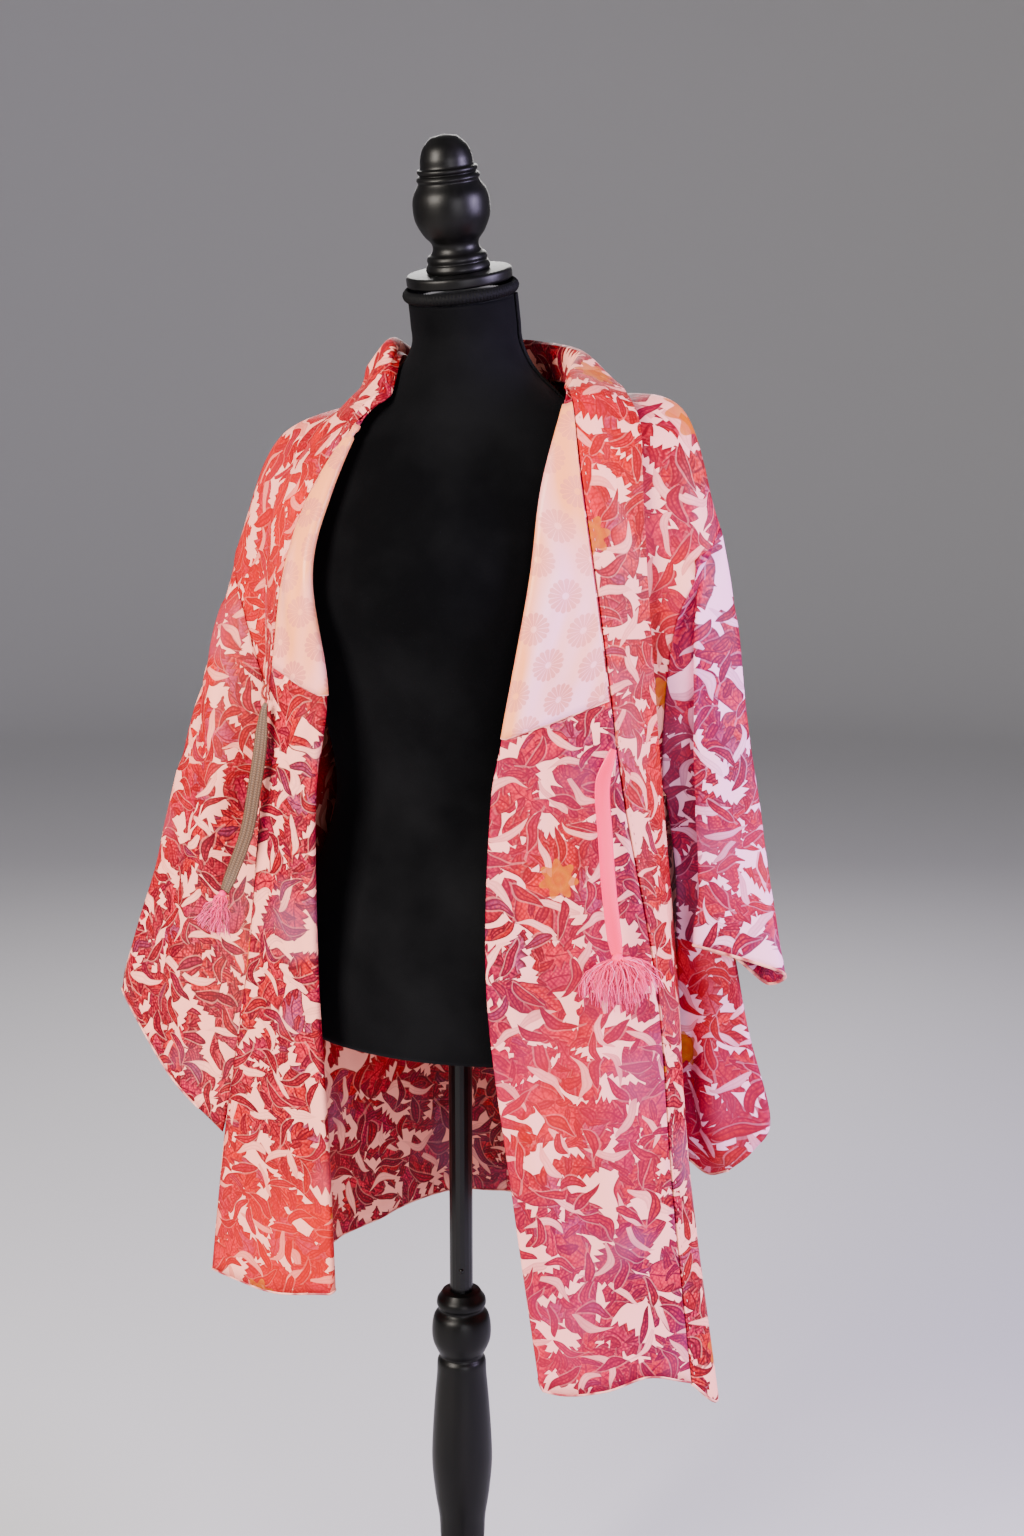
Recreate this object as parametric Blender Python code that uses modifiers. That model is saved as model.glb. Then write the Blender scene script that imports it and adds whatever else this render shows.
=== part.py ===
"""Haori jacket worn open on a dress form with a turned wooden stand.

Units are metres, +Z is up and the wearer faces -Y, so the wearer's left is +X.
The tables hold the garment as sections: lines of the cut (centre back, collar seam,
roll of the lapel, sides) at named heights, measured from the axis of the stand.
The last step moves everything so that the origin is the bottom centre of the whole.
"""

import math

import bmesh
import bpy
import numpy as np
from mathutils import Matrix, Vector
from mathutils.bvhtree import BVHTree

# ---------------------------------------------------------------- driving sizes
CLOTH = 0.0016          # wall of the single silk cloth
BAND = 0.0030           # wall of the doubled collar band
LINING = 0.0010         # wall of the lining
SEAM_GAP = 0.0003       # clear space left at a seam
SIDE_GAP = 0.0011       # the same beside an armhole or gusset, where the walls meet at an angle
BAND_LIFT = 0.0038      # clear space between the collar band and the panel under it
ROLL = 0.0036           # inner radius of a soft fold
STEPS = 2               # grid rows between two sections of a table
WELD = 0.00001          # distance at which a block's shared points are joined

POLE_R = 0.011
POLE_TOP = 0.6766
STAND_TOP = 0.413
SIDES = 24              # sides of a turned piece
NECK_TILT = math.radians(14.0)
NECK_BEND = math.radians(100.0)     # the angle at which the band stands up from the neckline

# ---------------------------------------------------------------- body sections
# One row for each section, from the back hem over the shoulder to the front hem.
# inner: centre back, then the collar seam round the neck, then the roll of the lapel
# second, third: places across the cloth;  side: side seam and armhole edge
#   name,             inner x, y, z,          second x, y, z,         third x, y, z,          side x, y, z
BODY_LEFT = (
    ("back hem",      -0.030, 0.165, 0.447,   0.062, 0.158, 0.444,    0.150, 0.112, 0.438,    0.206, 0.045, 0.432),
    ("back thigh",    -0.028, 0.156, 0.600,   0.060, 0.150, 0.600,    0.146, 0.106, 0.600,    0.204, 0.045, 0.600),
    ("back hip",      -0.026, 0.148, 0.750,   0.058, 0.142, 0.750,    0.142, 0.101, 0.750,    0.202, 0.042, 0.750),
    ("back armhole",  -0.022, 0.141, 0.910,   0.056, 0.136, 0.910,    0.139, 0.097, 0.910,    0.200, 0.036, 0.905),
    ("back rib",      -0.016, 0.135, 1.030,   0.056, 0.129, 1.030,    0.137, 0.094, 1.025,    0.213, 0.041, 1.010),
    ("shoulder blade", -0.010, 0.127, 1.125,  0.056, 0.122, 1.125,    0.143, 0.087, 1.115,    0.229, 0.034, 1.080),
    ("back yoke",     -0.006, 0.116, 1.205,   0.056, 0.112, 1.200,    0.148, 0.077, 1.182,    0.237, 0.027, 1.115),
    ("back neck",     -0.002, 0.100, 1.266,   0.060, 0.096, 1.246,    0.152, 0.064, 1.218,    0.2395, 0.022, 1.133),
    ("neck corner",   0.046, 0.087, 1.266,    0.092, 0.076, 1.254,    0.165, 0.048, 1.235,    0.240, 0.019, 1.139),
    ("shoulder",      0.085, 0.047, 1.262,    0.130, 0.043, 1.252,    0.190, 0.028, 1.239,    0.240, 0.016, 1.139),
    ("collarbone",    0.104, 0.000, 1.256,    0.146, 0.006, 1.243,    0.200, 0.010, 1.220,    0.2395, 0.008, 1.131),
    ("apex",          0.125, -0.048, 1.245,   0.160, -0.029, 1.222,   0.207, -0.014, 1.183,   0.237, -0.003, 1.116),
    ("chest",         0.121, -0.083, 1.175,   0.158, -0.056, 1.166,   0.198, -0.024, 1.142,   0.228, -0.016, 1.092),
    ("bust",          0.117, -0.099, 1.094,   0.150, -0.070, 1.092,   0.184, -0.034, 1.080,   0.213, -0.018, 1.052),
    ("lining end",    0.096, -0.108, 0.968,   0.138, -0.080, 0.975,   0.172, -0.040, 0.980,   0.201, -0.008, 0.975),
    ("waist",         0.088, -0.115, 0.903,   0.136, -0.085, 0.905,   0.170, -0.042, 0.908,   0.197, 0.002, 0.908),
    ("hip",           0.092, -0.130, 0.750,   0.142, -0.097, 0.750,   0.178, -0.052, 0.750,   0.200, -0.008, 0.750),
    ("thigh",         0.120, -0.140, 0.583,   0.165, -0.110, 0.583,   0.194, -0.068, 0.583,   0.208, -0.021, 0.590),
    ("front hem",     0.149, -0.148, 0.424,   0.183, -0.122, 0.425,   0.205, -0.080, 0.428,   0.213, -0.032, 0.430),
)
BODY_RIGHT = (
    ("back hem",      -0.030, 0.165, 0.447,   -0.084, 0.138, 0.447,   -0.128, 0.076, 0.436,   -0.158, -0.006, 0.422),
    ("back thigh",    -0.028, 0.156, 0.600,   -0.085, 0.135, 0.600,   -0.132, 0.082, 0.598,   -0.160, 0.004, 0.598),
    ("back hip",      -0.026, 0.148, 0.750,   -0.086, 0.131, 0.750,   -0.136, 0.085, 0.750,   -0.163, 0.011, 0.750),
    ("back armhole",  -0.022, 0.141, 0.910,   -0.086, 0.125, 0.910,   -0.141, 0.080, 0.908,   -0.170, 0.012, 0.900),
    ("back rib",      -0.016, 0.135, 1.030,   -0.085, 0.119, 1.030,   -0.150, 0.075, 1.020,   -0.204, 0.038, 0.998),
    ("shoulder blade", -0.010, 0.127, 1.125,  -0.080, 0.110, 1.125,   -0.155, 0.066, 1.108,   -0.220, 0.025, 1.062),
    ("back yoke",     -0.006, 0.116, 1.205,   -0.076, 0.099, 1.200,   -0.153, 0.053, 1.170,   -0.227, 0.013, 1.094),
    ("back neck",     -0.002, 0.100, 1.266,   -0.060, 0.090, 1.248,   -0.150, 0.040, 1.200,   -0.2295, 0.005, 1.108),
    ("neck corner",   -0.048, 0.078, 1.270,   -0.090, 0.060, 1.255,   -0.158, 0.022, 1.214,   -0.230, 0.001, 1.113),
    ("shoulder",      -0.067, 0.020, 1.278,   -0.104, 0.018, 1.256,   -0.170, 0.004, 1.216,   -0.230, -0.003, 1.113),
    ("collarbone",    -0.044, -0.046, 1.262,  -0.098, -0.026, 1.243,  -0.170, -0.014, 1.204,  -0.2295, -0.008, 1.106),
    ("apex",          -0.062, -0.068, 1.233,  -0.108, -0.052, 1.212,  -0.168, -0.033, 1.176,  -0.226, -0.016, 1.092),
    ("chest",         -0.068, -0.110, 1.168,  -0.108, -0.084, 1.158,  -0.157, -0.050, 1.136,  -0.213, -0.028, 1.068),
    ("bust",          -0.072, -0.138, 1.100,  -0.106, -0.098, 1.096,  -0.144, -0.058, 1.080,  -0.193, -0.036, 1.020),
    ("lining end",    -0.062, -0.130, 0.998,  -0.100, -0.102, 0.995,  -0.132, -0.070, 0.985,  -0.172, -0.034, 0.950),
    ("waist",         -0.073, -0.133, 0.905,  -0.108, -0.107, 0.903,  -0.136, -0.074, 0.900,  -0.160, -0.034, 0.900),
    ("hip",           -0.070, -0.138, 0.750,  -0.108, -0.115, 0.750,  -0.138, -0.083, 0.750,  -0.152, -0.042, 0.750),
    ("thigh",         -0.062, -0.138, 0.600,  -0.108, -0.120, 0.600,  -0.143, -0.092, 0.598,  -0.155, -0.052, 0.598),
    ("front hem",     -0.056, -0.141, 0.460,  -0.108, -0.125, 0.443,  -0.150, -0.102, 0.435,  -0.163, -0.062, 0.426),
)
# how far the hem of each lapel hangs above or below its line, at places across it
#   place, left,   right
HEM_WAVE = (
    (0.00,  0.000,  0.000),
    (0.28, -0.012, -0.004),
    (0.50, -0.007, -0.008),
    (0.78,  0.007, -0.004),
    (1.00,  0.000,  0.000),
)
APEX = 11               # the section where the roll of the lapel crosses the collar seam
NECK = 7                # the section where the centre-back seam meets the collar
ARMHOLE_BACK = 3        # the sections at the lower ends of the armhole
ARMHOLE_FRONT = 15
LINING_END = 14

# ---------------------------------------------------------------- collar sections
# From the centre back to the hem of one front. seam: the edge sewn to the body,
# middle: the fold where the band stands round the neck, edge: its free edge
#   name,             seam x, y, z,           middle x, y, z,         edge x, y, z
COLLAR_LEFT = (
    ("back neck",     -0.002, 0.100, 1.266,   -0.002, 0.089, 1.302,   -0.002, 0.122, 1.276),
    ("neck corner",   0.046, 0.087, 1.266,    0.050, 0.078, 1.298,    0.068, 0.107, 1.272),
    ("shoulder",      0.085, 0.047, 1.262,    0.091, 0.043, 1.287,    0.127, 0.052, 1.268),
    ("collarbone",    0.104, 0.000, 1.256,    0.106, 0.003, 1.272,    0.151, 0.020, 1.259),
    ("apex",          0.130, -0.046, 1.247,   0.148, -0.033, 1.246,   0.172, -0.006, 1.229),
    ("chest",         0.149, -0.068, 1.180,   0.170, -0.052, 1.175,   0.184, -0.026, 1.165),
    ("bust",          0.168, -0.081, 1.097,   0.185, -0.060, 1.094,   0.196, -0.036, 1.088),
    ("lining end",    0.181, -0.079, 1.002,   0.193, -0.058, 1.000,   0.201, -0.030, 1.000),
    ("waist",         0.191, -0.072, 0.915,   0.203, -0.052, 0.912,   0.206, -0.022, 0.910),
    ("hip",           0.219, -0.063, 0.752,   0.224, -0.037, 0.750,   0.218, -0.012, 0.750),
    ("thigh",         0.239, -0.073, 0.585,   0.244, -0.046, 0.583,   0.234, -0.022, 0.583),
    ("front hem",     0.262, -0.080, 0.414,   0.279, -0.062, 0.392,   0.266, -0.036, 0.405),
)
COLLAR_RIGHT = (
    ("back neck",     -0.002, 0.100, 1.266,   -0.002, 0.089, 1.302,   -0.002, 0.122, 1.276),
    ("neck corner",   -0.048, 0.078, 1.270,   -0.051, 0.067, 1.302,   -0.071, 0.094, 1.276),
    ("shoulder",      -0.067, 0.020, 1.278,   -0.077, 0.021, 1.300,   -0.106, 0.030, 1.274),
    ("collarbone",    -0.044, -0.046, 1.262,  -0.065, -0.032, 1.284,  -0.098, -0.014, 1.266),
    ("apex",          -0.0665, -0.0675, 1.2360, -0.084, -0.061, 1.242,  -0.114, -0.043, 1.230),
    ("chest",         -0.087, -0.102, 1.172,  -0.110, -0.094, 1.174,  -0.136, -0.078, 1.168),
    ("bust",          -0.104, -0.123, 1.104,  -0.126, -0.106, 1.104,  -0.147, -0.083, 1.100),
    ("lining end",    -0.118, -0.124, 1.020,  -0.137, -0.102, 1.020,  -0.153, -0.078, 1.016),
    ("waist",         -0.131, -0.125, 0.907,  -0.147, -0.099, 0.905,  -0.157, -0.073, 0.902),
    ("hip",           -0.146, -0.131, 0.750,  -0.158, -0.103, 0.750,  -0.163, -0.074, 0.750),
    ("thigh",         -0.170, -0.136, 0.600,  -0.180, -0.107, 0.598,  -0.181, -0.077, 0.598),
    ("front hem",     -0.193, -0.132, 0.451,  -0.201, -0.102, 0.446,  -0.199, -0.072, 0.444),
)

# ---------------------------------------------------------------- sleeve sections
# Rows go down from the top of the armhole. free: the inner edge of the front layer,
# tuck: the inner fold of the pleat, pleat: its outer fold, fold: the top fold of the
# sleeve, outer: where the back layer meets the sewn outer seam, back: its inner edge
# round: where the sleeve is widest from front to back
#   name,        free x, y, z,         tuck x, y, z,         pleat x, y, z,           fold x, y, z,
#                round x, y, z,        outer x, y, z,        back x, y, z
SLEEVE_LEFT = (
    ("head",     0.2365, -0.005, 1.112, 0.2310, -0.0160, 1.118, 0.2355, 0.0080, 1.129, 0.2400, 0.016, 1.139,
                 0.2398, 0.0215, 1.1345, 0.2385, 0.024, 1.126, 0.2365, 0.0280, 1.108),
    ("upper",    0.2155, -0.0185, 1.055, 0.229, -0.003, 1.055, 0.2335, -0.016, 1.060, 0.2545, 0.019, 1.062,
                 0.2520, 0.0310, 1.060, 0.247, 0.040, 1.058, 0.222, 0.0385, 1.048),
    ("elbow",    0.2035, -0.009, 0.978, 0.231, 0.004, 0.978, 0.2345, -0.0135, 0.980, 0.2620, 0.020, 0.980,
                 0.2585, 0.0360, 0.979, 0.251, 0.048, 0.978, 0.2115, 0.0420, 0.975),
    ("armhole",  0.2005, 0.002, 0.914,  0.235, 0.010, 0.908, 0.2365, -0.0125, 0.908, 0.2745, 0.019, 0.908,
                 0.2680, 0.0350, 0.908, 0.257, 0.046, 0.908, 0.2045, 0.0370, 0.912),
    ("wrist",    0.2105, 0.001, 0.845,  0.243, 0.009, 0.845, 0.2395, -0.013, 0.848, 0.2850, 0.016, 0.848,
                 0.2780, 0.0310, 0.843, 0.263, 0.034, 0.845, 0.2105, 0.0410, 0.845),
    ("cuff",     0.2125, 0.000, 0.785,  0.264, 0.002, 0.772, 0.2365, -0.020, 0.785, 0.3080, 0.000, 0.765,
                 0.2870, 0.0300, 0.744, 0.2645, 0.0065, 0.771, 0.2130, 0.0440, 0.785),
)
# Below the cuff only the pouch goes on. free: inner edge of its front layer,
# belly: middle of the front, outer: the sewn outer seam, swell: middle of the back
#   name,        free x, y, z,        belly x, y, z,       outer x, y, z,       swell x, y, z,       back x, y, z
POUCH_LEFT = (
    ("cuff",     0.2125, 0.000, 0.785, 0.238, -0.002, 0.779, 0.264, 0.002, 0.772, 0.240, 0.034, 0.780, 0.2130, 0.044, 0.785),
    ("pouch",    0.2140, 0.001, 0.705, 0.246, -0.004, 0.705, 0.2775, 0.005, 0.705, 0.250, 0.037, 0.705, 0.2140, 0.042, 0.705),
    ("corner",   0.2150, 0.003, 0.640, 0.252, -0.003, 0.635, 0.2955, 0.016, 0.625, 0.256, 0.034, 0.635, 0.2150, 0.036, 0.640),
    ("turn",     0.2190, 0.006, 0.600, 0.250, 0.003, 0.594, 0.2820, 0.015, 0.594, 0.252, 0.027, 0.594, 0.2190, 0.026, 0.600),
    ("bottom",   0.2230, 0.015, 0.576, 0.241, 0.015, 0.566, 0.2600, 0.015, 0.572, 0.241, 0.015, 0.566, 0.2230, 0.015, 0.576),
)
# The right sleeve has no pleat; its lower edge slants, open from the corner inwards.
#   name,        free x, y, z,         broad x, y, z,        fold x, y, z,         swell x, y, z,        back x, y, z
SLEEVE_RIGHT = (
    ("head",     -0.2260, -0.0155, 1.090, -0.2290, -0.009, 1.100, -0.2300, -0.001, 1.112, -0.2290, 0.007, 1.102, -0.2260, 0.0130, 1.090),
    ("upper",    -0.2120, -0.0300, 1.050, -0.232, -0.030, 1.050, -0.2530, -0.005, 1.052, -0.240, 0.021, 1.050, -0.2180, 0.0290, 1.045),
    ("elbow",    -0.1850, -0.0360, 0.975, -0.232, -0.046, 0.975, -0.2710, -0.015, 0.976, -0.247, 0.030, 0.975, -0.1960, 0.0330, 0.970),
    ("armhole",  -0.1680, -0.0340, 0.908, -0.236, -0.058, 0.905, -0.2860, -0.022, 0.905, -0.252, 0.025, 0.905, -0.1760, 0.0120, 0.908),
    ("wrist",    -0.1760, -0.0560, 0.800, -0.246, -0.071, 0.800, -0.3060, -0.038, 0.800, -0.262, 0.004, 0.800, -0.1850, 0.0120, 0.800),
    ("cuff",     -0.1860, -0.0830, 0.700, -0.254, -0.087, 0.715, -0.3300, -0.055, 0.716, -0.272, -0.035, 0.710, -0.1930, -0.0300, 0.705),
    ("edge",     -0.1960, -0.1160, 0.580, -0.258, -0.099, 0.620, -0.3390, -0.060, 0.684, -0.268, -0.074, 0.622, -0.1990, -0.0960, 0.580),
)
OUTER_TURN = 0.0035     # depth of the rounded outer seam of the pouch
ARMHOLE_ROW = 3         # the sleeves' section at the lower end of the armhole

# ---------------------------------------------------------------- dress form
#   name,            z,     half width, front depth, back depth, centre y, forward tilt
TORSO = (
    ("hem",          0.677, 0.161, 0.116, 0.110, 0.000, 0.0),
    ("hem turn",     0.687, 0.165, 0.120, 0.114, 0.000, 0.0),
    ("seat",         0.730, 0.167, 0.121, 0.116, 0.000, 0.0),
    ("hip",          0.790, 0.152, 0.112, 0.106, 0.000, 0.0),
    ("waist",        0.890, 0.118, 0.090, 0.086, 0.000, 0.0),
    ("rib",          0.970, 0.128, 0.100, 0.092, 0.000, 0.0),
    ("under bust",   1.030, 0.141, 0.116, 0.098, 0.000, 0.0),
    ("bust",         1.080, 0.150, 0.133, 0.101, 0.000, 0.0),
    ("chest",        1.130, 0.162, 0.121, 0.102, 0.001, 0.0),
    ("arm top",      1.165, 0.168, 0.104, 0.098, 0.003, 0.0),
    ("shoulder tip", 1.190, 0.163, 0.092, 0.090, 0.006, 0.0),
    ("shoulder",     1.212, 0.146, 0.081, 0.079, 0.009, 0.0),
    ("collarbone",   1.232, 0.121, 0.071, 0.069, 0.012, 0.0),
    ("neck slope",   1.252, 0.094, 0.062, 0.060, 0.015, 0.0),
    ("neck base",    1.274, 0.068, 0.054, 0.052, 0.018, 0.0),
    ("neck foot",    1.296, 0.051, 0.048, 0.048, 0.0185, 3.0),
    ("neck",         1.315, 0.0475, 0.047, 0.047, 0.0150, 7.0),
    ("neck top",     1.3354, 0.0470, 0.047, 0.047, 0.0105, 14.0),
)
TORSO_SIDES = 28
FORM_CLEAR = 0.0045     # the cloth's middle stays this far from the form
FORM_NEAR = 0.040       # below the chest it clears the widest ring within this height
CHEST_Z = 1.000
SHOULDER_Z = 1.180      # above this height the cloth lies on the form and is lifted

# radius against the distance up the neck's axis from the top of the neck
NECK_CAP_AT = (0.0, 0.0095, 1.3365)
#   part,     radius, height
TRIM_PROFILE = ((0.0, -0.0010), (0.0480, -0.0010), (0.0505, 0.0020), (0.0505, 0.0090), (0.0480, 0.0120), (0.0, 0.0120))
CAP_PROFILE = ((0.0, 0.0123), (0.0450, 0.0123), (0.0465, 0.0140), (0.0465, 0.0205), (0.0450, 0.0223), (0.0, 0.0223))
FINIAL_PROFILE = (
    (0.0, 0.0226), (0.0300, 0.0226), (0.0305, 0.0259), (0.0280, 0.0298), (0.0272, 0.0327), (0.0285, 0.0349),
    (0.0250, 0.0381), (0.0222, 0.0435), (0.0235, 0.0483), (0.0285, 0.0542), (0.0325, 0.0669), (0.0332, 0.0776),
    (0.0310, 0.0903), (0.0262, 0.1000), (0.0258, 0.1020), (0.0280, 0.1041), (0.0270, 0.1078), (0.0225, 0.1103),
    (0.0215, 0.1166), (0.0180, 0.1263), (0.0110, 0.1341), (0.0, 0.1366),
)
COLUMN_PROFILE = (
    (0.0, 0.150), (0.0200, 0.150), (0.0215, 0.160), (0.0225, 0.180), (0.0262, 0.205), (0.0290, 0.235),
    (0.0286, 0.262), (0.0262, 0.300), (0.0238, 0.328), (0.0232, 0.342), (0.0205, 0.348), (0.0235, 0.354),
    (0.0275, 0.364), (0.0282, 0.376), (0.0262, 0.388), (0.0215, 0.395), (0.0235, 0.400), (0.0230, 0.405),
    (0.0205, 0.409), (0.0180, STAND_TOP), (0.0, STAND_TOP),
)
HUB_PROFILE = ((0.0, 0.070), (0.0260, 0.070), (0.0320, 0.078), (0.0330, 0.120), (0.0290, 0.140), (0.0, 0.1497))
LEG_ROOT = 0.0333       # clear of the hub by a seam gap
LEG_REACH = 0.245
LEG_THICK = 0.022
LEG_ANGLES = (("leg_front", -63.0), ("leg_left", 57.0), ("leg_right", 177.0))


# ---------------------------------------------------------------- scene and colour
for old in list(bpy.data.objects):
    bpy.data.objects.remove(old, do_unlink=True)
PARTS = bpy.data.collections.new("haori_on_form")
bpy.context.scene.collection.children.link(PARTS)
TOOLS = bpy.data.collections.new("shapes_joined_in")
bpy.context.scene.collection.children.link(TOOLS)


def finish(name, colour, roughness, metallic=0.0):
    """A plain material for one kind of surface."""
    material = bpy.data.materials.new(name)
    material.use_nodes = True
    shader = material.node_tree.nodes["Principled BSDF"]
    shader.inputs["Base Color"].default_value = (*colour, 1.0)
    shader.inputs["Roughness"].default_value = roughness
    shader.inputs["Metallic"].default_value = metallic
    return material


SILK = finish("printed silk", (0.70, 0.19, 0.20), 0.50)
SILK_LINING = finish("lining silk", (0.88, 0.62, 0.55), 0.42)
PINK_BRAID = finish("pink braid", (0.87, 0.30, 0.42), 0.60)
GREY_BRAID = finish("taupe braid", (0.30, 0.24, 0.20), 0.60)
VELVET = finish("black velvet", (0.006, 0.006, 0.007), 0.95)
BLACK_WOOD = finish("black wood", (0.012, 0.011, 0.012), 0.32)
BLACK_STEEL = finish("black steel", (0.02, 0.02, 0.022), 0.30, 1.0)


def add_object(name, mesh, material, smooth=True, collection=PARTS):
    """Link a mesh as a named part."""
    mesh.materials.clear()
    mesh.materials.append(material)
    if smooth:
        mesh.shade_smooth()
    part = bpy.data.objects.new(name, mesh)
    collection.objects.link(part)
    return part


# ---------------------------------------------------------------- curves and grids
def key_line(table, first):
    """The points of one named line of a table, whose x is in that column."""
    return np.array([row[first:first + 3] for row in table], float)


def through(points, places):
    """A smooth curve through points, read at places counted in points."""
    points = np.asarray(points, float)
    last = len(points) - 1
    padded = np.vstack([2 * points[0] - points[1], points, 2 * points[-1] - points[-2]])
    result = []
    for place in places:
        i = min(int(place), last - 1)
        t = place - i
        a, b, c, d = padded[i:i + 4]
        result.append(0.5 * (2 * b + (c - a) * t + (2 * a - 5 * b + 4 * c - d) * t ** 2
                             + (3 * b - a - 3 * c + d) * t ** 3))
    return np.array(result)


def evenly(points, count):
    """That many points at even distances along a smooth curve through points."""
    fine = through(points, np.linspace(0, len(points) - 1, 12 * len(points)))
    along = np.concatenate([[0], np.cumsum(np.linalg.norm(np.diff(fine, axis=0), axis=1))])
    at = np.linspace(0, along[-1], count)
    return np.stack([np.interp(at, along, fine[:, k]) for k in range(3)], axis=1)


def add_block(mesh, grid):
    """Add a grid of points as faces; a row that shrinks to a point gives triangles."""
    made = [[mesh.verts.new(point) for point in row] for row in grid]
    for upper, lower in zip(made[:-1], made[1:]):
        for k in range(len(upper) - 1):
            mesh.faces.new((upper[k], upper[k + 1], lower[k + 1], lower[k]))


def cloth(name, grids, wall, material):
    """Join grids along their shared edges and give the sheet its wall."""
    mesh = bmesh.new()
    for grid in grids:
        add_block(mesh, grid)
    bmesh.ops.remove_doubles(mesh, verts=mesh.verts, dist=WELD)
    bmesh.ops.recalc_face_normals(mesh, faces=mesh.faces)
    data = bpy.data.meshes.new(name)
    mesh.to_mesh(data)
    mesh.free()
    part = add_object(name, data, material)
    solid = part.modifiers.new("wall", "SOLIDIFY")
    solid.thickness = wall
    solid.offset = 0.0
    return part


def flat_unit(vector):
    """The horizontal part of a vector, one long."""
    flat = np.array([vector[0], vector[1], 0.0])
    return flat / max(np.linalg.norm(flat), 1e-9)


# ---------------------------------------------------------------- clear of the form
TORSO_Z = np.array([row[1] for row in TORSO])
TORSO_RINGS = np.array([row[2:] for row in TORSO])


def ring_at(z):
    """Half width, front depth, back depth and centre of the form at a height."""
    return [float(np.interp(z, TORSO_Z, TORSO_RINGS[:, k])) for k in range(4)]


def clear_of_form(point):
    """Move a point of cloth outwards until it clears the form."""
    x, y, z = point
    if z < TORSO_Z[0] - FORM_NEAR:
        return np.array(point, float)
    for _ in range(3):
        around = (z - FORM_NEAR, z, z + FORM_NEAR) if z < CHEST_Z else (z,)
        width, front, back, centre = np.max([ring_at(level) for level in around], axis=0)
        depth = (front if y < centre else back) + FORM_CLEAR
        reach = math.hypot(x / (width + FORM_CLEAR), (y - centre) / depth)
        if reach >= 1.0 or z > TORSO_Z[-1]:
            break
        if z > SHOULDER_Z:
            z += 0.5 * FORM_CLEAR + 0.05 * (1 - reach)
        else:
            x = x / reach
            y = centre + (y - centre) / reach
    return np.array([x, y, z])


# ---------------------------------------------------------------- body panels
def wave_at(place, column):
    """The hem wave of one side at a place across its lapel."""
    places = [row[0] for row in HEM_WAVE]
    return float(np.interp(place, places, [row[column] for row in HEM_WAVE]))


def inner_at(body, place):
    """The inner edge of a panel: up the centre back, then, from a corner, round the neck."""
    line = key_line(body, 1)
    if place <= NECK:
        return through(line[:NECK + 1], [place])[0]
    return through(line[NECK:], [place - NECK])[0]


def body_grids(body, collar, wave, steps, across, turned, arc):
    """The panel as two grids that share the roll line: the cloth itself and its lapel.

    wave: its column in the hem wave, steps: rows for each section, across: columns of the panel, turned: columns of
    the lapel, arc: columns of the quarter turn on each side of the roll."""
    second, third, side = (key_line(body, first) for first in (4, 7, 10))
    seam = key_line(collar, 1)
    panel, lapel = [], []
    for i in range((len(body) - 1) * steps + 1):
        place = [i / steps]
        a = inner_at(body, place[0])
        b, c, d = (through(line, place)[0] for line in (second, third, side))
        turn = i / steps - APEX
        if turn >= 0:
            s = through(seam, [place[0] - NECK])[0]
            width = np.linalg.norm(s - a)
            radius = min(ROLL, 0.25 * width)
            inward = flat_unit(0.5 * (s + b) - a)
            outward = np.array([inward[1], -inward[0], 0.0])
            if np.dot(outward, s - b) < 0:
                outward = -outward
            centre = a + radius * inward
            angles = [math.radians(90.0 * k / arc) for k in range(1, arc + 1)]
            under = [centre - radius * (math.cos(g) * inward + math.sin(g) * outward) for g in angles]
            over = [centre - radius * (math.cos(g) * inward - math.sin(g) * outward) for g in angles]
            bulge = 0.5 * (over[-1] + s) + 0.05 * width * outward
            row = [a, *over, *evenly([over[-1], bulge, s], turned)[1:]]
            low = max(0.0, i / steps - (len(body) - 2)) ** 2
            for k, point in enumerate(row):
                point[2] += low * wave_at(k / (len(row) - 1), wave)
            lapel.append(row)
        else:
            along = evenly([a, b, c, d], 40)
            under = [along[0] + (along[1] - along[0]) * k / arc for k in range(1, arc + 1)]
        row = [a, *under, *evenly([under[-1], b, c, d], across)[1:]]
        panel.append([clear_of_form(point) for point in row])
    return panel, lapel


def make_body(name, body, collar, side):
    """One half of the body, with its centre-back edge just clear of the other half."""
    panel, lapel = body_grids(body, collar, 1 if side > 0 else 2, STEPS, 8, 5, 1)
    for row in panel[:NECK * STEPS + 1]:
        row[0] = row[0] + np.array([side * SIDE_GAP, 0.0, 0.0])
    cloth(name, (panel, lapel), CLOTH, SILK)
    return panel, lapel


# ---------------------------------------------------------------- collar band
def surface(grid):
    """A grid of points as triangles that can be asked for their nearest point."""
    corners = [tuple(point) for row in grid for point in row]
    across = len(grid[0])
    faces = []
    for i in range(len(grid) - 1):
        for k in range(across - 1):
            first = i * across + k
            faces.append((first, first + 1, first + across + 1))
            faces.append((first, first + across + 1, first + across))
    return BVHTree.FromPolygons(corners, faces)


def lie_on(point, tree, gap, axis=(0.0, 0.015)):
    """Move a point outwards, away from the form's axis, until it lies that far off a surface."""
    near, normal, _, _ = tree.find_nearest(Vector(point))
    outward = Vector((point[0] - axis[0], point[1] - axis[1], 0.06))
    if normal.dot(outward) < 0:
        normal = -normal
    short = gap - (Vector(point) - near).dot(normal)
    return np.array(Vector(point) + normal * max(0.0, short))


def fold_gap(lead, away):
    """Clear length at a seam where the walls meet at an angle."""
    cosine = np.dot(lead, away) / (np.linalg.norm(lead) * np.linalg.norm(away))
    bend = min(math.acos(max(-1.0, min(1.0, cosine))), NECK_BEND)
    return 4 * SEAM_GAP + 0.5 * (CLOTH + BAND) * math.tan(bend / 2)


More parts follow.
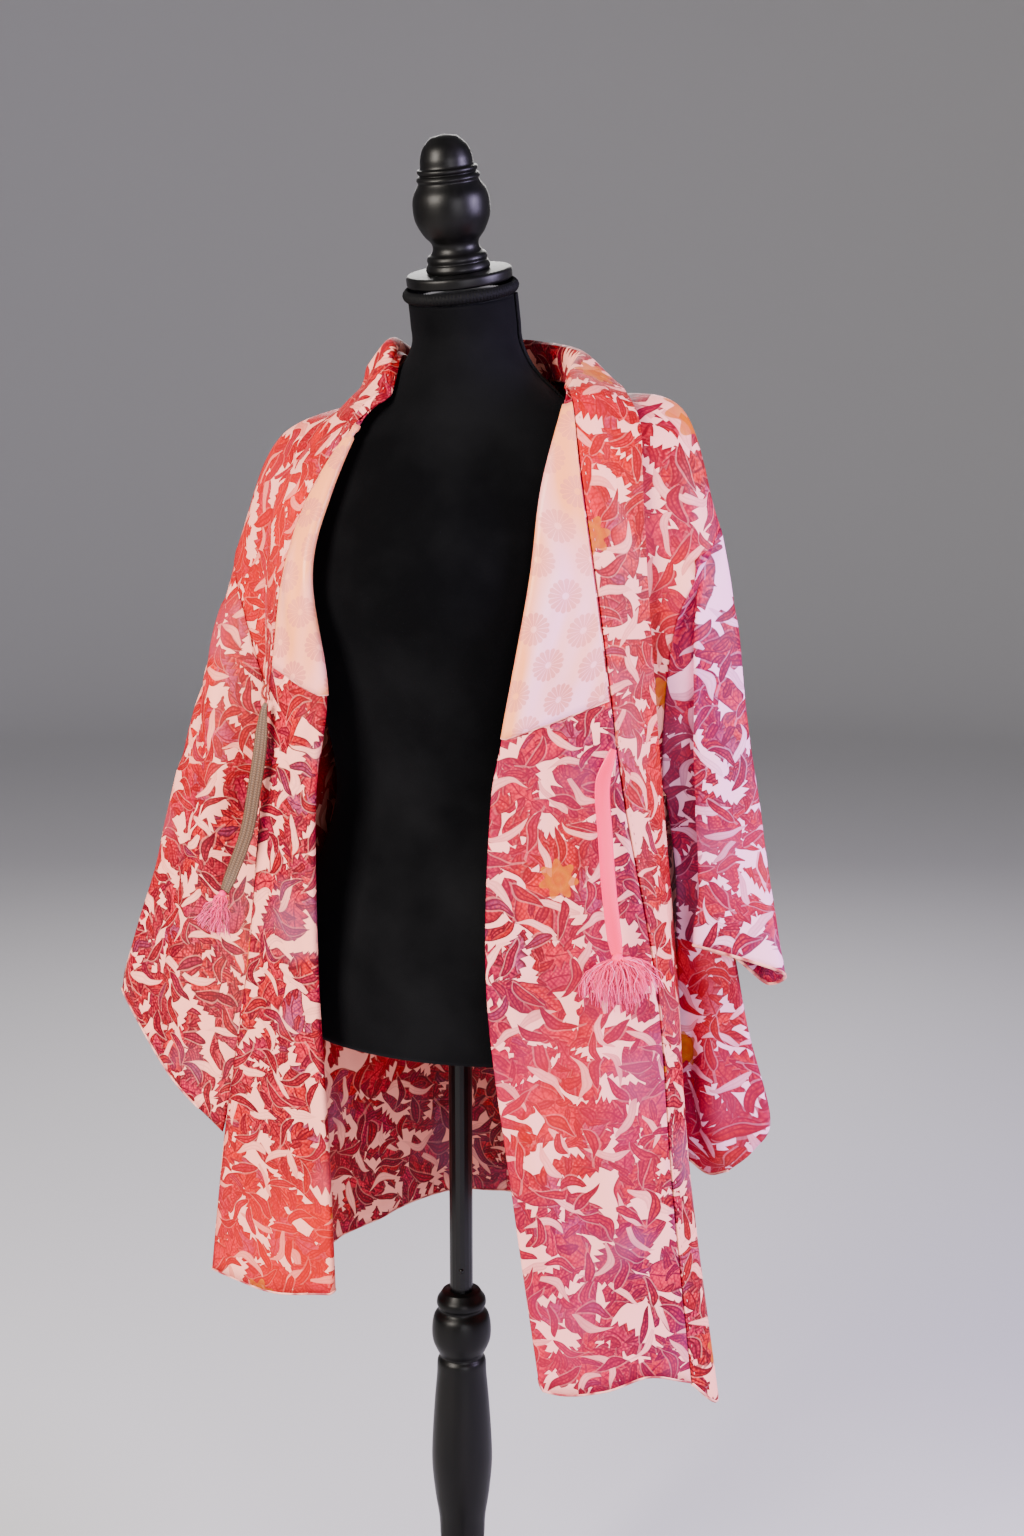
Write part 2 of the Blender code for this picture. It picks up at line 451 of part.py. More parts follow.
def collar_grid(steps, across, panels):
    """The band as one grid, from the left hem round the neck to the right hem."""
    rows = []
    for table, body, panel, order in ((COLLAR_LEFT, BODY_LEFT, panels[0], -1), (COLLAR_RIGHT, BODY_RIGHT, panels[1], 1)):
        half = []
        tree = surface(panel)
        seam, middle, edge = (key_line(table, first) for first in (1, 4, 7))
        for i in range((len(table) - 1) * steps + 1):
            place = [i / steps]
            s, m, e = (through(line, place)[0] for line in (seam, middle, edge))
            away = (m - s) / np.linalg.norm(m - s)
            a = inner_at(body, NECK + i / steps)
            if i / steps < APEX - NECK:
                lift = panel[NECK * steps + i][0] - a
                row = evenly([s + lift + away * fold_gap(-away, away), m + lift, e + lift], across)
            else:
                row = evenly([s + away * fold_gap(s - a, away), m, e], across)
            off = 0.5 * (CLOTH + BAND) + BAND_LIFT
            half.append([row[0]] + [lie_on(clear_of_form(point), tree, off) for point in row[1:]])
        rows += half[::order] if order < 0 else half[1:]
    return rows


# ---------------------------------------------------------------- gussets
def gusset_grid(body, steps, across):
    """The strip between the side edges of the back and the front, below the armhole."""
    side = key_line(body, 10)
    last = len(body) - 1
    rows = []
    for i in range(ARMHOLE_BACK * steps + 1):
        t = i / (ARMHOLE_BACK * steps)
        back = through(side, [ARMHOLE_BACK * (1 - t)])[0]
        front = through(side, [ARMHOLE_FRONT + (last - ARMHOLE_FRONT) * t])[0]
        lean = (front - back) / np.linalg.norm(front - back)
        inset = lean * (SIDE_GAP + 0.5 * CLOTH)
        rows.append([clear_of_form(point) for point in np.linspace(back + inset, front - inset, across)])
    return rows


# ---------------------------------------------------------------- sleeves
def armhole_edges(body):
    """The side edge of the body from the armhole's top down its front and its back."""
    side = key_line(body, 10)
    top = 0.5 * (NECK + 1 + NECK + 2)
    front = through(side, np.linspace(top, ARMHOLE_FRONT, 80))
    back = through(side, np.linspace(top, ARMHOLE_BACK, 80))
    return front, back


def at_height(edge, z):
    """The point of a falling edge at a height."""
    order = np.argsort(edge[:, 2])
    return np.array([np.interp(z, edge[order, 2], edge[order, k]) for k in range(3)])


def sleeve_rows(table, body, steps, fills):
    """Rows through a sleeve's sections, sewn to the body's edge above the armhole's end."""
    lines = [key_line(table, first) for first in range(1, len(table[0]), 3)]
    front, back = armhole_edges(body)
    places = [0.0]
    for k, fill in enumerate(fills):
        places += [k + (j + 1) / fill for j in range(fill)]
    rows = []
    for i in range((len(table) - 1) * steps + 1):
        keys = np.array([through(line, [i / steps])[0] for line in lines])
        if i / steps <= ARMHOLE_ROW:
            for end, edge, neighbour in ((0, front, 1), (-1, back, -2)):
                sewn = at_height(edge, keys[end][2])
                lean = keys[neighbour] - sewn
                keys[end] = sewn + lean / np.linalg.norm(lean) * (SIDE_GAP + 0.5 * CLOTH)
        if i == 0:
            arch = np.vstack([front[front[:, 2] > keys[0][2]][::-1], back[back[:, 2] > keys[-1][2]]])
            drop = np.array([0.0, 0.0, -(1.5 * SIDE_GAP + 0.5 * CLOTH)])
            rows.append(list(evenly(arch[::6], len(places)) + drop))
        else:
            rows.append(list(through(keys, places)))
    return rows


def sleeve_left_grids(steps, fills):
    """The left sleeve down to its cuff, and the pouch that goes on below it."""
    upper = sleeve_rows(SLEEVE_LEFT, BODY_LEFT, steps, fills)
    lines = [key_line(POUCH_LEFT, first) for first in (1, 4, 7, 10, 13)]
    turn = np.array([0.0, OUTER_TURN, 0.0])
    pouch = [upper[-1][:fills[0] + 1] + upper[-1][-fills[-1] - 1:]]
    for i in range(1, (len(POUCH_LEFT) - 1) * steps + 1):
        free, belly, outer, swell, back = (through(line, [i / steps])[0] for line in lines)
        front_half = through((free, belly, outer), np.linspace(0, 2, fills[0] + 1))
        back_half = through((outer + turn, swell, back), np.linspace(0, 2, fills[-1] + 1))
        pouch.append([*front_half, *back_half])
    close_bottom(pouch[-1], fills[0] + 1)
    return upper, pouch


def close_bottom(row, count):
    """Bring the back layer's last points of a row onto the front layer's first."""
    for k in range(count):
        row[-1 - k] = row[k]


def sleeve_right_grid(steps, fills, closed):
    """The right sleeve, its lower edge sewn for some columns and open for the rest."""
    rows = sleeve_rows(SLEEVE_RIGHT, BODY_RIGHT, steps, fills)
    close_bottom(rows[-1], closed)
    return rows


# ---------------------------------------------------------------- linings
def lining_grid(lapel, steps, side):
    """The lining on a lapel: the lapel's own points moved out by the two half walls."""
    points = np.array(lapel[1:(LINING_END - APEX) * steps + 1])
    normal = np.cross(np.gradient(points, axis=0), np.gradient(points, axis=1))
    normal /= np.maximum(np.linalg.norm(normal, axis=2, keepdims=True), 1e-12)
    outward = np.array([0.25 * side, -1.0, 0.0])
    flip = np.where((normal @ outward)[..., None] < 0, -1.0, 1.0)
    moved = points + flip * normal * (0.5 * CLOTH + SEAM_GAP + 0.5 * LINING + 0.0002)
    edge = moved[:, -1] - moved[:, -2]
    moved[:, -1] -= 0.0015 * edge / np.linalg.norm(edge, axis=1, keepdims=True)
    return [list(row[1:]) for row in moved]


# ---------------------------------------------------------------- loops, ties, tassels
# the points down the middle of each ribbon, from its loop
TIE_LEFT = (
    (0.1875, -0.0870, 0.9625), (0.1849, -0.0900, 0.9520), (0.1809, -0.0920, 0.9380), (0.1804, -0.0930, 0.9220),
    (0.1835, -0.0940, 0.8920), (0.1875, -0.0960, 0.8530), (0.1930, -0.0985, 0.8170), (0.1980, -0.1010, 0.7920),
)
TIE_RIGHT = (
    (-0.1195, -0.1335, 0.9880), (-0.1215, -0.1350, 0.9780), (-0.1250, -0.1365, 0.9460), (-0.1310, -0.1380, 0.9100),
    (-0.1380, -0.1400, 0.8740), (-0.1510, -0.1430, 0.8390), (-0.1590, -0.1460, 0.8190),
)
TIE_WIDE = 0.0125
TIE_THICK = 0.0026
TIE_SAG = 3             # grid rows between two of a ribbon's points
LOOP_R = 0.0060
LOOP_CORD = 0.0012
LOOP_LEFT_AT = (0.1885, -0.0800, 0.9710)
LOOP_RIGHT_AT = (-0.1205, -0.1280, 0.9970)
TASSEL_HEAD = 0.0065
STRAND = 0.0007
TASSEL_LEFT_AT = (0.1985, -0.1010, 0.7835)
TASSEL_RIGHT_AT = (-0.1635, -0.1480, 0.8110)


def ribbon(name, route, facing, material):
    """A flat braid along a route, its face towards facing."""
    line = through(route, np.linspace(0, len(route) - 1, (len(route) - 1) * TIE_SAG + 1))
    ahead = np.gradient(line, axis=0)
    facing = np.array(facing, float)
    rows = []
    for point, direction in zip(line, ahead):
        side = np.cross(direction, facing)
        side /= np.linalg.norm(side)
        rows.append([point - side * 0.5 * TIE_WIDE, point, point + side * 0.5 * TIE_WIDE])
    return cloth(name, (rows,), TIE_THICK, material)


def to_mesh_part(curve_object, name, material):
    """Turn a curve with caps into a welded mesh part in its place."""
    bpy.context.view_layer.update()
    graph = bpy.context.evaluated_depsgraph_get()
    data = bpy.data.meshes.new_from_object(curve_object.evaluated_get(graph))
    place = curve_object.matrix_world.copy()
    curve = curve_object.data
    bpy.data.objects.remove(curve_object, do_unlink=True)
    bpy.data.curves.remove(curve)
    welded = bmesh.new()
    welded.from_mesh(data)
    bmesh.ops.remove_doubles(welded, verts=welded.verts, dist=WELD)
    welded.to_mesh(data)
    welded.free()
    part = add_object(name, data, material)
    part.matrix_world = place
    return part


def tube(name, points, radius, material, resolution=2):
    """A round cord or rod along points, with closed ends."""
    curve = bpy.data.curves.new(name, "CURVE")
    curve.dimensions = "3D"
    curve.bevel_depth = radius
    curve.bevel_resolution = resolution
    curve.use_fill_caps = True
    spline = curve.splines.new("POLY")
    spline.points.add(len(points) - 1)
    for target, point in zip(spline.points, points):
        target.co = (*point, 1.0)
    guide = bpy.data.objects.new(name + "_guide", curve)
    PARTS.objects.link(guide)
    return to_mesh_part(guide, name, material)


def loop(name, place, outward, material):
    """A small cloth loop that stands out of the band seam."""
    outward = np.array(outward, float)
    outward /= np.linalg.norm(outward)
    up = np.array([0.0, 0.0, 1.0])
    points = []
    for k in range(9):
        angle = math.radians(-80.0 + 20.0 * k)
        points.append(np.array(place) + LOOP_R * (0.2 + math.cos(angle)) * outward + LOOP_R * math.sin(angle) * up)
    return tube(name, points, LOOP_CORD, material)


def tassel(name, head, down, facing, fan, length, strands, material):
    """Strands of four sides that fan out of a small rounded head and fuse in it.

    facing: the direction its broad side looks, fan: how far the outermost strands lean sideways and forwards."""
    down = Vector(down).normalized()
    side = down.cross(Vector(facing)).normalized()
    front = side.cross(down).normalized()
    tuft = bmesh.new()
    for k in range(strands):
        out = math.sqrt((k + 0.5) / strands)
        around = math.radians(137.5) * k
        lean = side * math.cos(around) * out * fan[0] + front * math.sin(around) * out * fan[1]
        reach = length * (0.88 + 0.12 * math.cos(5.0 * around)) * math.sqrt(1.0 - 0.55 * out ** 2)
        start = Vector(head) + down * 0.002
        rings = []
        for t in (0.0, 0.45, 1.0):
            point = start + down * reach * t + lean * (1.35 * t - 0.35 * t * t)
            thick = STRAND * (1.0 - 0.3 * t)
            rings.append([tuft.verts.new(point + side * thick * a + front * thick * b)
                          for a, b in ((1, 0), (0, 1), (-1, 0), (0, -1))])
        for one, two in zip(rings[:-1], rings[1:]):
            for a in range(4):
                tuft.faces.new((one[a], one[(a + 1) % 4], two[(a + 1) % 4], two[a]))
        tuft.faces.new(rings[0][::-1])
        tuft.faces.new(rings[-1])
    bmesh.ops.recalc_face_normals(tuft, faces=tuft.faces)
    data = bpy.data.meshes.new(name + "_tuft")
    tuft.to_mesh(data)
    tuft.free()
    strands_part = add_object(name + "_tuft", data, material, collection=TOOLS)
    strands_part.hide_render = True
    strands_part.display_type = "WIRE"
    cap = bmesh.new()
    place = Matrix.Translation(Vector(head)) @ down.to_track_quat("Z", "Y").to_matrix().to_4x4()
    bmesh.ops.create_icosphere(cap, subdivisions=2, radius=TASSEL_HEAD, matrix=place)
    data = bpy.data.meshes.new(name)
    cap.to_mesh(data)
    cap.free()
    part = add_object(name, data, material)
    union = part.modifiers.new("strands", "BOOLEAN")
    union.operation = "UNION"
    union.solver = "EXACT"
    union.use_self = True
    union.object = strands_part
    return part


# ---------------------------------------------------------------- form and stand
def torso():
    """The velvet form, lofted through its rings and closed at both ends."""
    mesh = bmesh.new()
    rings = []
    for _, z, width, front, back, centre, tilt in TORSO:
        rise = math.tan(math.radians(tilt))
        ring = []
        for k in range(TORSO_SIDES):
            angle = 2 * math.pi * k / TORSO_SIDES
            out = (front if math.sin(angle) < 0 else back) * math.sin(angle)
            ring.append(mesh.verts.new((width * math.cos(angle), centre + out, z + rise * out)))
        rings.append(ring)
    for low, high in zip(rings[:-1], rings[1:]):
        for k in range(TORSO_SIDES):
            n = (k + 1) % TORSO_SIDES
            mesh.faces.new((low[k], low[n], high[n], high[k]))
    mesh.faces.new(rings[0][::-1])
    mesh.faces.new(rings[-1])
    data = bpy.data.meshes.new("torso")
    mesh.to_mesh(data)
    mesh.free()
    return add_object("torso", data, VELVET)


def turned(name, profile, material, place=(0.0, 0.0, 0.0), tilt=0.0, sides=SIDES):
    """A turned piece: a profile of radius and height, spun about its own Z."""
    mesh = bpy.data.meshes.new(name)
    points = [(radius, 0.0, height) for radius, height in profile[::-1]]
    edges = [(k, k + 1) for k in range(len(points) - 1)]
    mesh.from_pydata(points, edges, [])
    part = add_object(name, mesh, material)
    part.location = place
    part.rotation_euler = (tilt, 0.0, 0.0)
    spin = part.modifiers.new("spin", "SCREW")
    spin.steps = sides
    spin.render_steps = sides
    spin.use_merge_vertices = True
    spin.merge_threshold = 0.0001
    return part


def block(name, size, place, material, bevel):
    """A small box with rounded edges."""
    mesh = bmesh.new()
    bmesh.ops.create_cube(mesh, size=1.0)
    bmesh.ops.scale(mesh, verts=mesh.verts, vec=size)
    data = bpy.data.meshes.new(name)
    mesh.to_mesh(data)
    mesh.free()
    part = add_object(name, data, material, smooth=False)
    part.location = place
    edge = part.modifiers.new("edge", "BEVEL")
    edge.width = bevel
    edge.segments = 1
    return part


def leg(name, angle):
    """One sawn leg of the stand: a curved outline with a flat foot, set round the hub."""
    curve = bpy.data.curves.new(name, "CURVE")
    curve.dimensions = "2D"
    curve.fill_mode = "BOTH"
    curve.extrude = LEG_THICK / 2
    curve.resolution_u = 5
    outline = (
        ((LEG_ROOT, 0.128), "VECTOR"), ((0.085, 0.118), "AUTO"), ((0.160, 0.066), "AUTO"), ((LEG_REACH, 0.026), "AUTO"),
        ((LEG_REACH, 0.0), "VECTOR"), ((LEG_REACH - 0.048, 0.0), "VECTOR"), ((0.130, 0.050), "AUTO"),
        ((0.075, 0.080), "AUTO"), ((LEG_ROOT, 0.086), "VECTOR"),
    )
    spline = curve.splines.new("BEZIER")
    spline.use_cyclic_u = True
    spline.bezier_points.add(len(outline) - 1)
    for target, ((x, z), kind) in zip(spline.bezier_points, outline):
        target.co = (x, z, 0.0)
        target.handle_left_type = kind
        target.handle_right_type = kind
    guide = bpy.data.objects.new(name + "_guide", curve)
    PARTS.objects.link(guide)
    guide.rotation_euler = (math.radians(90.0), 0.0, math.radians(angle))
    part = to_mesh_part(guide, name, BLACK_WOOD)
    part.data.shade_flat()
    return part


# ---------------------------------------------------------------- run the pieces
left_panel, left_lapel = make_body("body_left", BODY_LEFT, COLLAR_LEFT, 1)
right_panel, right_lapel = make_body("body_right", BODY_RIGHT, COLLAR_RIGHT, -1)
cloth("gusset_left", (gusset_grid(BODY_LEFT, STEPS, 3),), CLOTH, SILK)
cloth("gusset_right", (gusset_grid(BODY_RIGHT, STEPS, 3),), CLOTH, SILK)
cloth("sleeve_left", sleeve_left_grids(STEPS, (4, 2, 3, 2, 2, 4)), CLOTH, SILK)
cloth("sleeve_right", (sleeve_right_grid(STEPS, (4, 4, 4, 4), 2),), CLOTH, SILK)
cloth("collar_band", (collar_grid(STEPS, 7, (left_panel, right_panel)),), BAND, SILK)
cloth("lining_left", (lining_grid(left_lapel, STEPS, 1),), LINING, SILK_LINING)
cloth("lining_right", (lining_grid(right_lapel, STEPS, -1),), LINING, SILK_LINING)

loop("loop_left", LOOP_LEFT_AT, (0.25, -1.0, 0.0), SILK)
loop("loop_right", LOOP_RIGHT_AT, (-0.25, -1.0, 0.0), SILK)
ribbon("tie_left", TIE_LEFT, (0.25, -1.0, 0.0), PINK_BRAID)
ribbon("tie_right", TIE_RIGHT, (-0.10, -1.0, 0.0), GREY_BRAID)
tassel("tassel_left", TASSEL_LEFT_AT, (0.02, 0.0, -1.0), (0.47, -0.88, 0.0), (0.031, 0.013), 0.044, 44, PINK_BRAID)
tassel("tassel_right", TASSEL_RIGHT_AT, (-0.30, -0.02, -1.0), (0.10, -1.0, 0.0), (0.016, 0.008), 0.034, 32, PINK_BRAID)

torso()
turned("neck_trim", TRIM_PROFILE, VELVET, NECK_CAP_AT, NECK_TILT)
turned("neck_cap", CAP_PROFILE, BLACK_WOOD, NECK_CAP_AT, NECK_TILT)
turned("finial", FINIAL_PROFILE, BLACK_WOOD, NECK_CAP_AT, NECK_TILT)
tube("pole", [(0.0, 0.0, STAND_TOP + SEAM_GAP), (0.0, 0.0, POLE_TOP)], POLE_R, BLACK_STEEL, 6)
turned("stand_column", COLUMN_PROFILE, BLACK_WOOD)
turned("stand_hub", HUB_PROFILE, BLACK_WOOD)
for leg_name, leg_angle in LEG_ANGLES:
    leg(leg_name, leg_angle)
block("clamp_block", (0.024, 0.018, 0.018), (0.0235, -0.002, 0.6672), BLACK_STEEL, 0.0015)
tube("clamp_knob", [(0.0358, -0.002, 0.6660), (0.0470, -0.002, 0.6660)], 0.0065, BLACK_STEEL, 2)


# ---------------------------------------------------------------- the origin
def centre_on_floor():
    """Move every part so that the origin is the bottom centre of the whole."""
    bpy.context.view_layer.update()
    graph = bpy.context.evaluated_depsgraph_get()
    corners = []
    for part in PARTS.objects:
        shape = part.evaluated_get(graph).to_mesh()
        corners += [part.matrix_world @ vertex.co for vertex in shape.vertices]
    low = [min(corner[k] for corner in corners) for k in range(3)]
    high = [max(corner[k] for corner in corners) for k in range(3)]
    shift = Vector((-(low[0] + high[0]) / 2, -(low[1] + high[1]) / 2, -low[2]))
    for part in list(PARTS.objects) + list(TOOLS.objects):
        part.location = part.location + shift
    return shift


MOVED = centre_on_floor()
print("stand axis at", [round(value, 5) for value in MOVED])
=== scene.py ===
# %% [markdown]
# # A haori jacket worn open on a dress form
# The jacket is made of narrow panels of printed silk that are sewn edge to edge, with a
# folded collar band that runs from hem to hem round the neck. It hangs from the shoulders
# of a velvet form on a turned wooden stand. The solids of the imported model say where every
# piece is, so the first step loads them and keeps their box to measure against at the end.

# %% Load the frame
import math

import bmesh
import bpy
import numpy as np
from mathutils import Matrix, Vector, noise
from mathutils.bvhtree import BVHTree


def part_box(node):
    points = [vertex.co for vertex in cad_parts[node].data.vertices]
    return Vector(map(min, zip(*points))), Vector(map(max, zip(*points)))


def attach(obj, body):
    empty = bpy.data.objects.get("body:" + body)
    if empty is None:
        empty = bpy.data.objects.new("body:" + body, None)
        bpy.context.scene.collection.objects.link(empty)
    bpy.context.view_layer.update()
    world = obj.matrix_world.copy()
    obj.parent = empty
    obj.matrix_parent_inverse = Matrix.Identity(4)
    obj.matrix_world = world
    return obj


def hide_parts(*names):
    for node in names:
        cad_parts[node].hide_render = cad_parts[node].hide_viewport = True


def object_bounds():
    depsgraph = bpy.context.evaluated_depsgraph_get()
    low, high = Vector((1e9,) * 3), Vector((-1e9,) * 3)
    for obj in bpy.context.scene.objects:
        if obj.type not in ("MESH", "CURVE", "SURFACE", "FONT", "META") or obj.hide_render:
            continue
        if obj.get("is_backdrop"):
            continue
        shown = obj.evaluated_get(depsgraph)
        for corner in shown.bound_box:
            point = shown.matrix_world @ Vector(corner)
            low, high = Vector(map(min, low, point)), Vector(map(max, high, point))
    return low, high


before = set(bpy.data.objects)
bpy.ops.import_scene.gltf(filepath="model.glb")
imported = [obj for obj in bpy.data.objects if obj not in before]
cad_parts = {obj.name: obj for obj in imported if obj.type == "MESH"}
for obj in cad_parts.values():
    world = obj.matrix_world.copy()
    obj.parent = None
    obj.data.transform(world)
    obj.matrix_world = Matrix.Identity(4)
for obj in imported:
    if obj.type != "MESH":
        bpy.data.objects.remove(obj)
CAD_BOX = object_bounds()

pole_low, pole_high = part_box("pole")
AXIS = np.array([(pole_low.x + pole_high.x) / 2, (pole_low.y + pole_high.y) / 2, 0.0])
SCENE = bpy.context.scene
print("stand axis", AXIS.round(5), "whole", [round(value, 4) for corner in CAD_BOX for value in corner])

# %% [markdown]
# The camera stands to the wearer's left of the front, a little above the neck, and looks
# slightly down, so that both lapels and the outer side of the left sleeve are seen. It is
# placed round the axis of the stand by an angle and a distance, because that is how one
# carries a camera round a thing, and a small turn puts the stand left of the middle.

# %% Camera
VIEW_ANGLE = math.radians(27.0)
VIEW_DISTANCE = 1.75
VIEW_HEIGHT = 1.23
VIEW_DOWN = math.radians(10.1)
VIEW_TURN = math.radians(1.582)
SENSOR_WIDTH = 36.0
LENS = 45.82


def round_axis(angle, distance, height):
    """A place round the stand, at an angle from the front towards the wearer's left."""
    return Vector((AXIS[0] + distance * math.sin(angle), AXIS[1] - distance * math.cos(angle), height))


def aimed(name, data, place, forward):
    """A camera or a lamp at a place, turned to look forward."""
    thing = bpy.data.objects.new(name, data)
    thing.location = place
    thing.rotation_euler = forward.to_track_quat("-Z", "Y").to_euler()
    SCENE.collection.objects.link(thing)
    return thing


heading = VIEW_ANGLE - VIEW_TURN
level = math.cos(VIEW_DOWN)
view = Vector((-math.sin(heading) * level, math.cos(heading) * level, -math.sin(VIEW_DOWN)))
lens = bpy.data.cameras.new("camera")
lens.sensor_width = SENSOR_WIDTH
lens.lens = LENS
camera = aimed("camera", lens, round_axis(VIEW_ANGLE, VIEW_DISTANCE, VIEW_HEIGHT), view)
SCENE.camera = camera
print("camera at", [round(value, 3) for value in camera.location])

# %% [markdown]
# The floor is pale paper that sweeps up far off all round, so that no edge shows. The
# lights are large soft boxes: a warm one in front on the left, a lilac one on the right
# that skims the sleeve, and two weak ones, in front on the right and high behind.
# Large lights give the soft gradients that show the folds of silk and keep black velvet
# from going flat.

# %% Floor and lights
FLOOR_R = 6.0
FLOOR_RINGS = 12
FLOOR_SIDES = 96
SWEEP_R = 3.0
SWEEP_HIGH = 9.0
PAPER = (0.52, 0.52, 0.52, 1.0)
PAPER_ROUGHNESS = 0.85
ROOM_LIGHT = (0.72, 0.73, 0.75, 1.0)
ROOM_STRENGTH = 0.36
AIM_HEIGHT = 1.0
#   name, angle, distance, height, size, watts, colour, height it is aimed at
SOFT_BOXES = (
    ("key", -22.0, 2.6, 2.0, 1.4, 240.0, (1.0, 0.93, 0.84), AIM_HEIGHT),
    ("side", 98.0, 2.3, 1.6, 1.0, 175.0, (0.74, 0.64, 1.0), AIM_HEIGHT),
    ("fill", 45.0, 3.2, 1.1, 1.6, 72.0, (0.97, 0.94, 1.0), AIM_HEIGHT),
    ("back", 205.0, 2.6, 2.3, 1.4, 42.0, (1.0, 0.97, 0.95), AIM_HEIGHT + 0.1),
)


def paper_floor():
    """A round floor whose rim curves up into a wall."""
    bends = [math.radians(angle) for angle in range(0, 91, 6)]
    sweep = [(FLOOR_R * k / FLOOR_RINGS, 0.0) for k in range(1, FLOOR_RINGS)]
    sweep += [(FLOOR_R + SWEEP_R * math.sin(bend), SWEEP_R * (1 - math.cos(bend))) for bend in bends]
    sweep += [(FLOOR_R + SWEEP_R, SWEEP_HIGH)]
    turns = [2 * math.pi * k / FLOOR_SIDES for k in range(FLOOR_SIDES)]
    corners = [(0.0, 0.0, 0.0)]
    corners += [(r * math.cos(turn), r * math.sin(turn), z) for r, z in sweep for turn in turns]
    pairs = [(k, (k + 1) % FLOOR_SIDES) for k in range(FLOOR_SIDES)]
    faces = [(0, 1 + k, 1 + after) for k, after in pairs]
    for ring in range(len(sweep) - 1):
        first, second = 1 + ring * FLOOR_SIDES, 1 + (ring + 1) * FLOOR_SIDES
        faces += [(first + k, second + k, second + after, first + after) for k, after in pairs]
    mesh = bpy.data.meshes.new("floor")
    mesh.from_pydata(corners, [], faces)
    mesh.shade_smooth()
    paper = bpy.data.materials.new("floor paper")
    paper.use_nodes = True
    shader = paper.node_tree.nodes["Principled BSDF"]
    shader.inputs["Base Color"].default_value = PAPER
    shader.inputs["Roughness"].default_value = PAPER_ROUGHNESS
    mesh.materials.append(paper)
    floor = bpy.data.objects.new("floor", mesh)
    SCENE.collection.objects.link(floor)
    return floor


paper_floor()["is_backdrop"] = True
for name, angle, distance, height, size, watts, colour, aim in SOFT_BOXES:
    light = bpy.data.lights.new(name, "AREA")
    light.shape = "SQUARE"
    light.size = size
    light.energy = watts
    light.color = colour
    place = round_axis(math.radians(angle), distance, height)
    aimed(name, light, place, Vector((AXIS[0], AXIS[1], aim)) - place)
SCENE.world = bpy.data.worlds.new("room")
SCENE.world.use_nodes = True
surround = SCENE.world.node_tree.nodes["Background"].inputs
surround["Color"].default_value = ROOM_LIGHT
surround["Strength"].default_value = ROOM_STRENGTH

# %% [markdown]
# Every line of the cut is kept as a short table of points. A smooth curve through them is
# read at any place, so the same table can give a coarse solid or a fine sheet of cloth.
# The curve is a Catmull-Rom spline, because it passes through each point as a tailor's
# curve does through its pins.

# %% Smooth lines
def key_line(table, first):
    """The points of one named line of a table, whose x is in that column."""
    return np.array([row[first:first + 3] for row in table], float)


def through(points, places):
    """A smooth curve through points, read at places counted in points."""
    points = np.asarray(points, float)
    last = len(points) - 1
    padded = np.vstack([2 * points[0] - points[1], points, 2 * points[-1] - points[-2]])
    places = np.asarray(places, float)
    i = np.clip(places.astype(int), 0, last - 1)
    t = (places - i)[:, None]
    a, b, c, d = padded[i], padded[i + 1], padded[i + 2], padded[i + 3]
    bend, swing = 2 * a - 5 * b + 4 * c - d, 3 * b - a - 3 * c + d
    return 0.5 * (2 * b + (c - a) * t + bend * t ** 2 + swing * t ** 3)


def run_of(line):
    """Length along a line, at each of its points."""
    return np.concatenate([[0], np.cumsum(np.linalg.norm(np.diff(line, axis=0), axis=1))])


def read_at(run, line, at):
    """The points, or other rows of three numbers, at given lengths along a line."""
    return np.stack([np.interp(at, run, line[:, k]) for k in range(3)], axis=1)


def evenly(points, count):
    """That many points at even distances along a smooth curve through points."""
    fine = through(points, np.linspace(0, len(points) - 1, 12 * len(points)))
    run = run_of(fine)
    return read_at(run, fine, np.linspace(0, run[-1], count))


def unit(vectors):
    """The same vectors, each one long."""
    vectors = np.asarray(vectors, float)
    return vectors / np.maximum(np.linalg.norm(vectors, axis=-1, keepdims=True), 1e-12)


# %% [markdown]
# A piece is made from grids of points. Each point also has its place on the flat cloth, in
# metres, and that is kept as the mesh's UV map, so that print, ribs and stitches keep
# their true size. Edges where the flat places part are marked as seams. Points that
# coincide are welded, and every piece rides on the model and, where it stands for a
# solid, replaces that.

# %% Grids into pieces
WELD_CLOTH = 1e-5
WELD_FINE = 1e-6
SEAM_PARTED = 1e-3


def flat_mesh(name, sheets, weld=WELD_FINE):
    """Pairs of a grid and its flat places, joined into one mesh."""
    mesh = bmesh.new()
    flat_layer = mesh.loops.layers.uv.new("flat")
    for grid, flat in sheets:
        made = [[mesh.verts.new(point) for point in row] for row in grid]
        for i in range(len(made) - 1):
            for k in range(len(made[i]) - 1):
                corners = ((i, k), (i, k + 1), (i + 1, k + 1), (i + 1, k))
                face = mesh.faces.new([made[a][b] for a, b in corners])
                for corner, (a, b) in zip(face.loops, corners):
                    corner[flat_layer].uv = flat[a][b]
    bmesh.ops.remove_doubles(mesh, verts=mesh.verts, dist=weld)
    bmesh.ops.dissolve_degenerate(mesh, edges=mesh.edges, dist=1e-7)
    bmesh.ops.recalc_face_normals(mesh, faces=mesh.faces)
    for edge in mesh.edges:
        if len(edge.link_loops) == 2:
            one, two = edge.link_loops
            parted = (one[flat_layer].uv - two.link_loop_next[flat_layer].uv).length
            parted += (one.link_loop_next[flat_layer].uv - two[flat_layer].uv).length
            edge.seam = parted > SEAM_PARTED
    data = bpy.data.meshes.new(name)
    mesh.to_mesh(data)
    mesh.free()
    return data


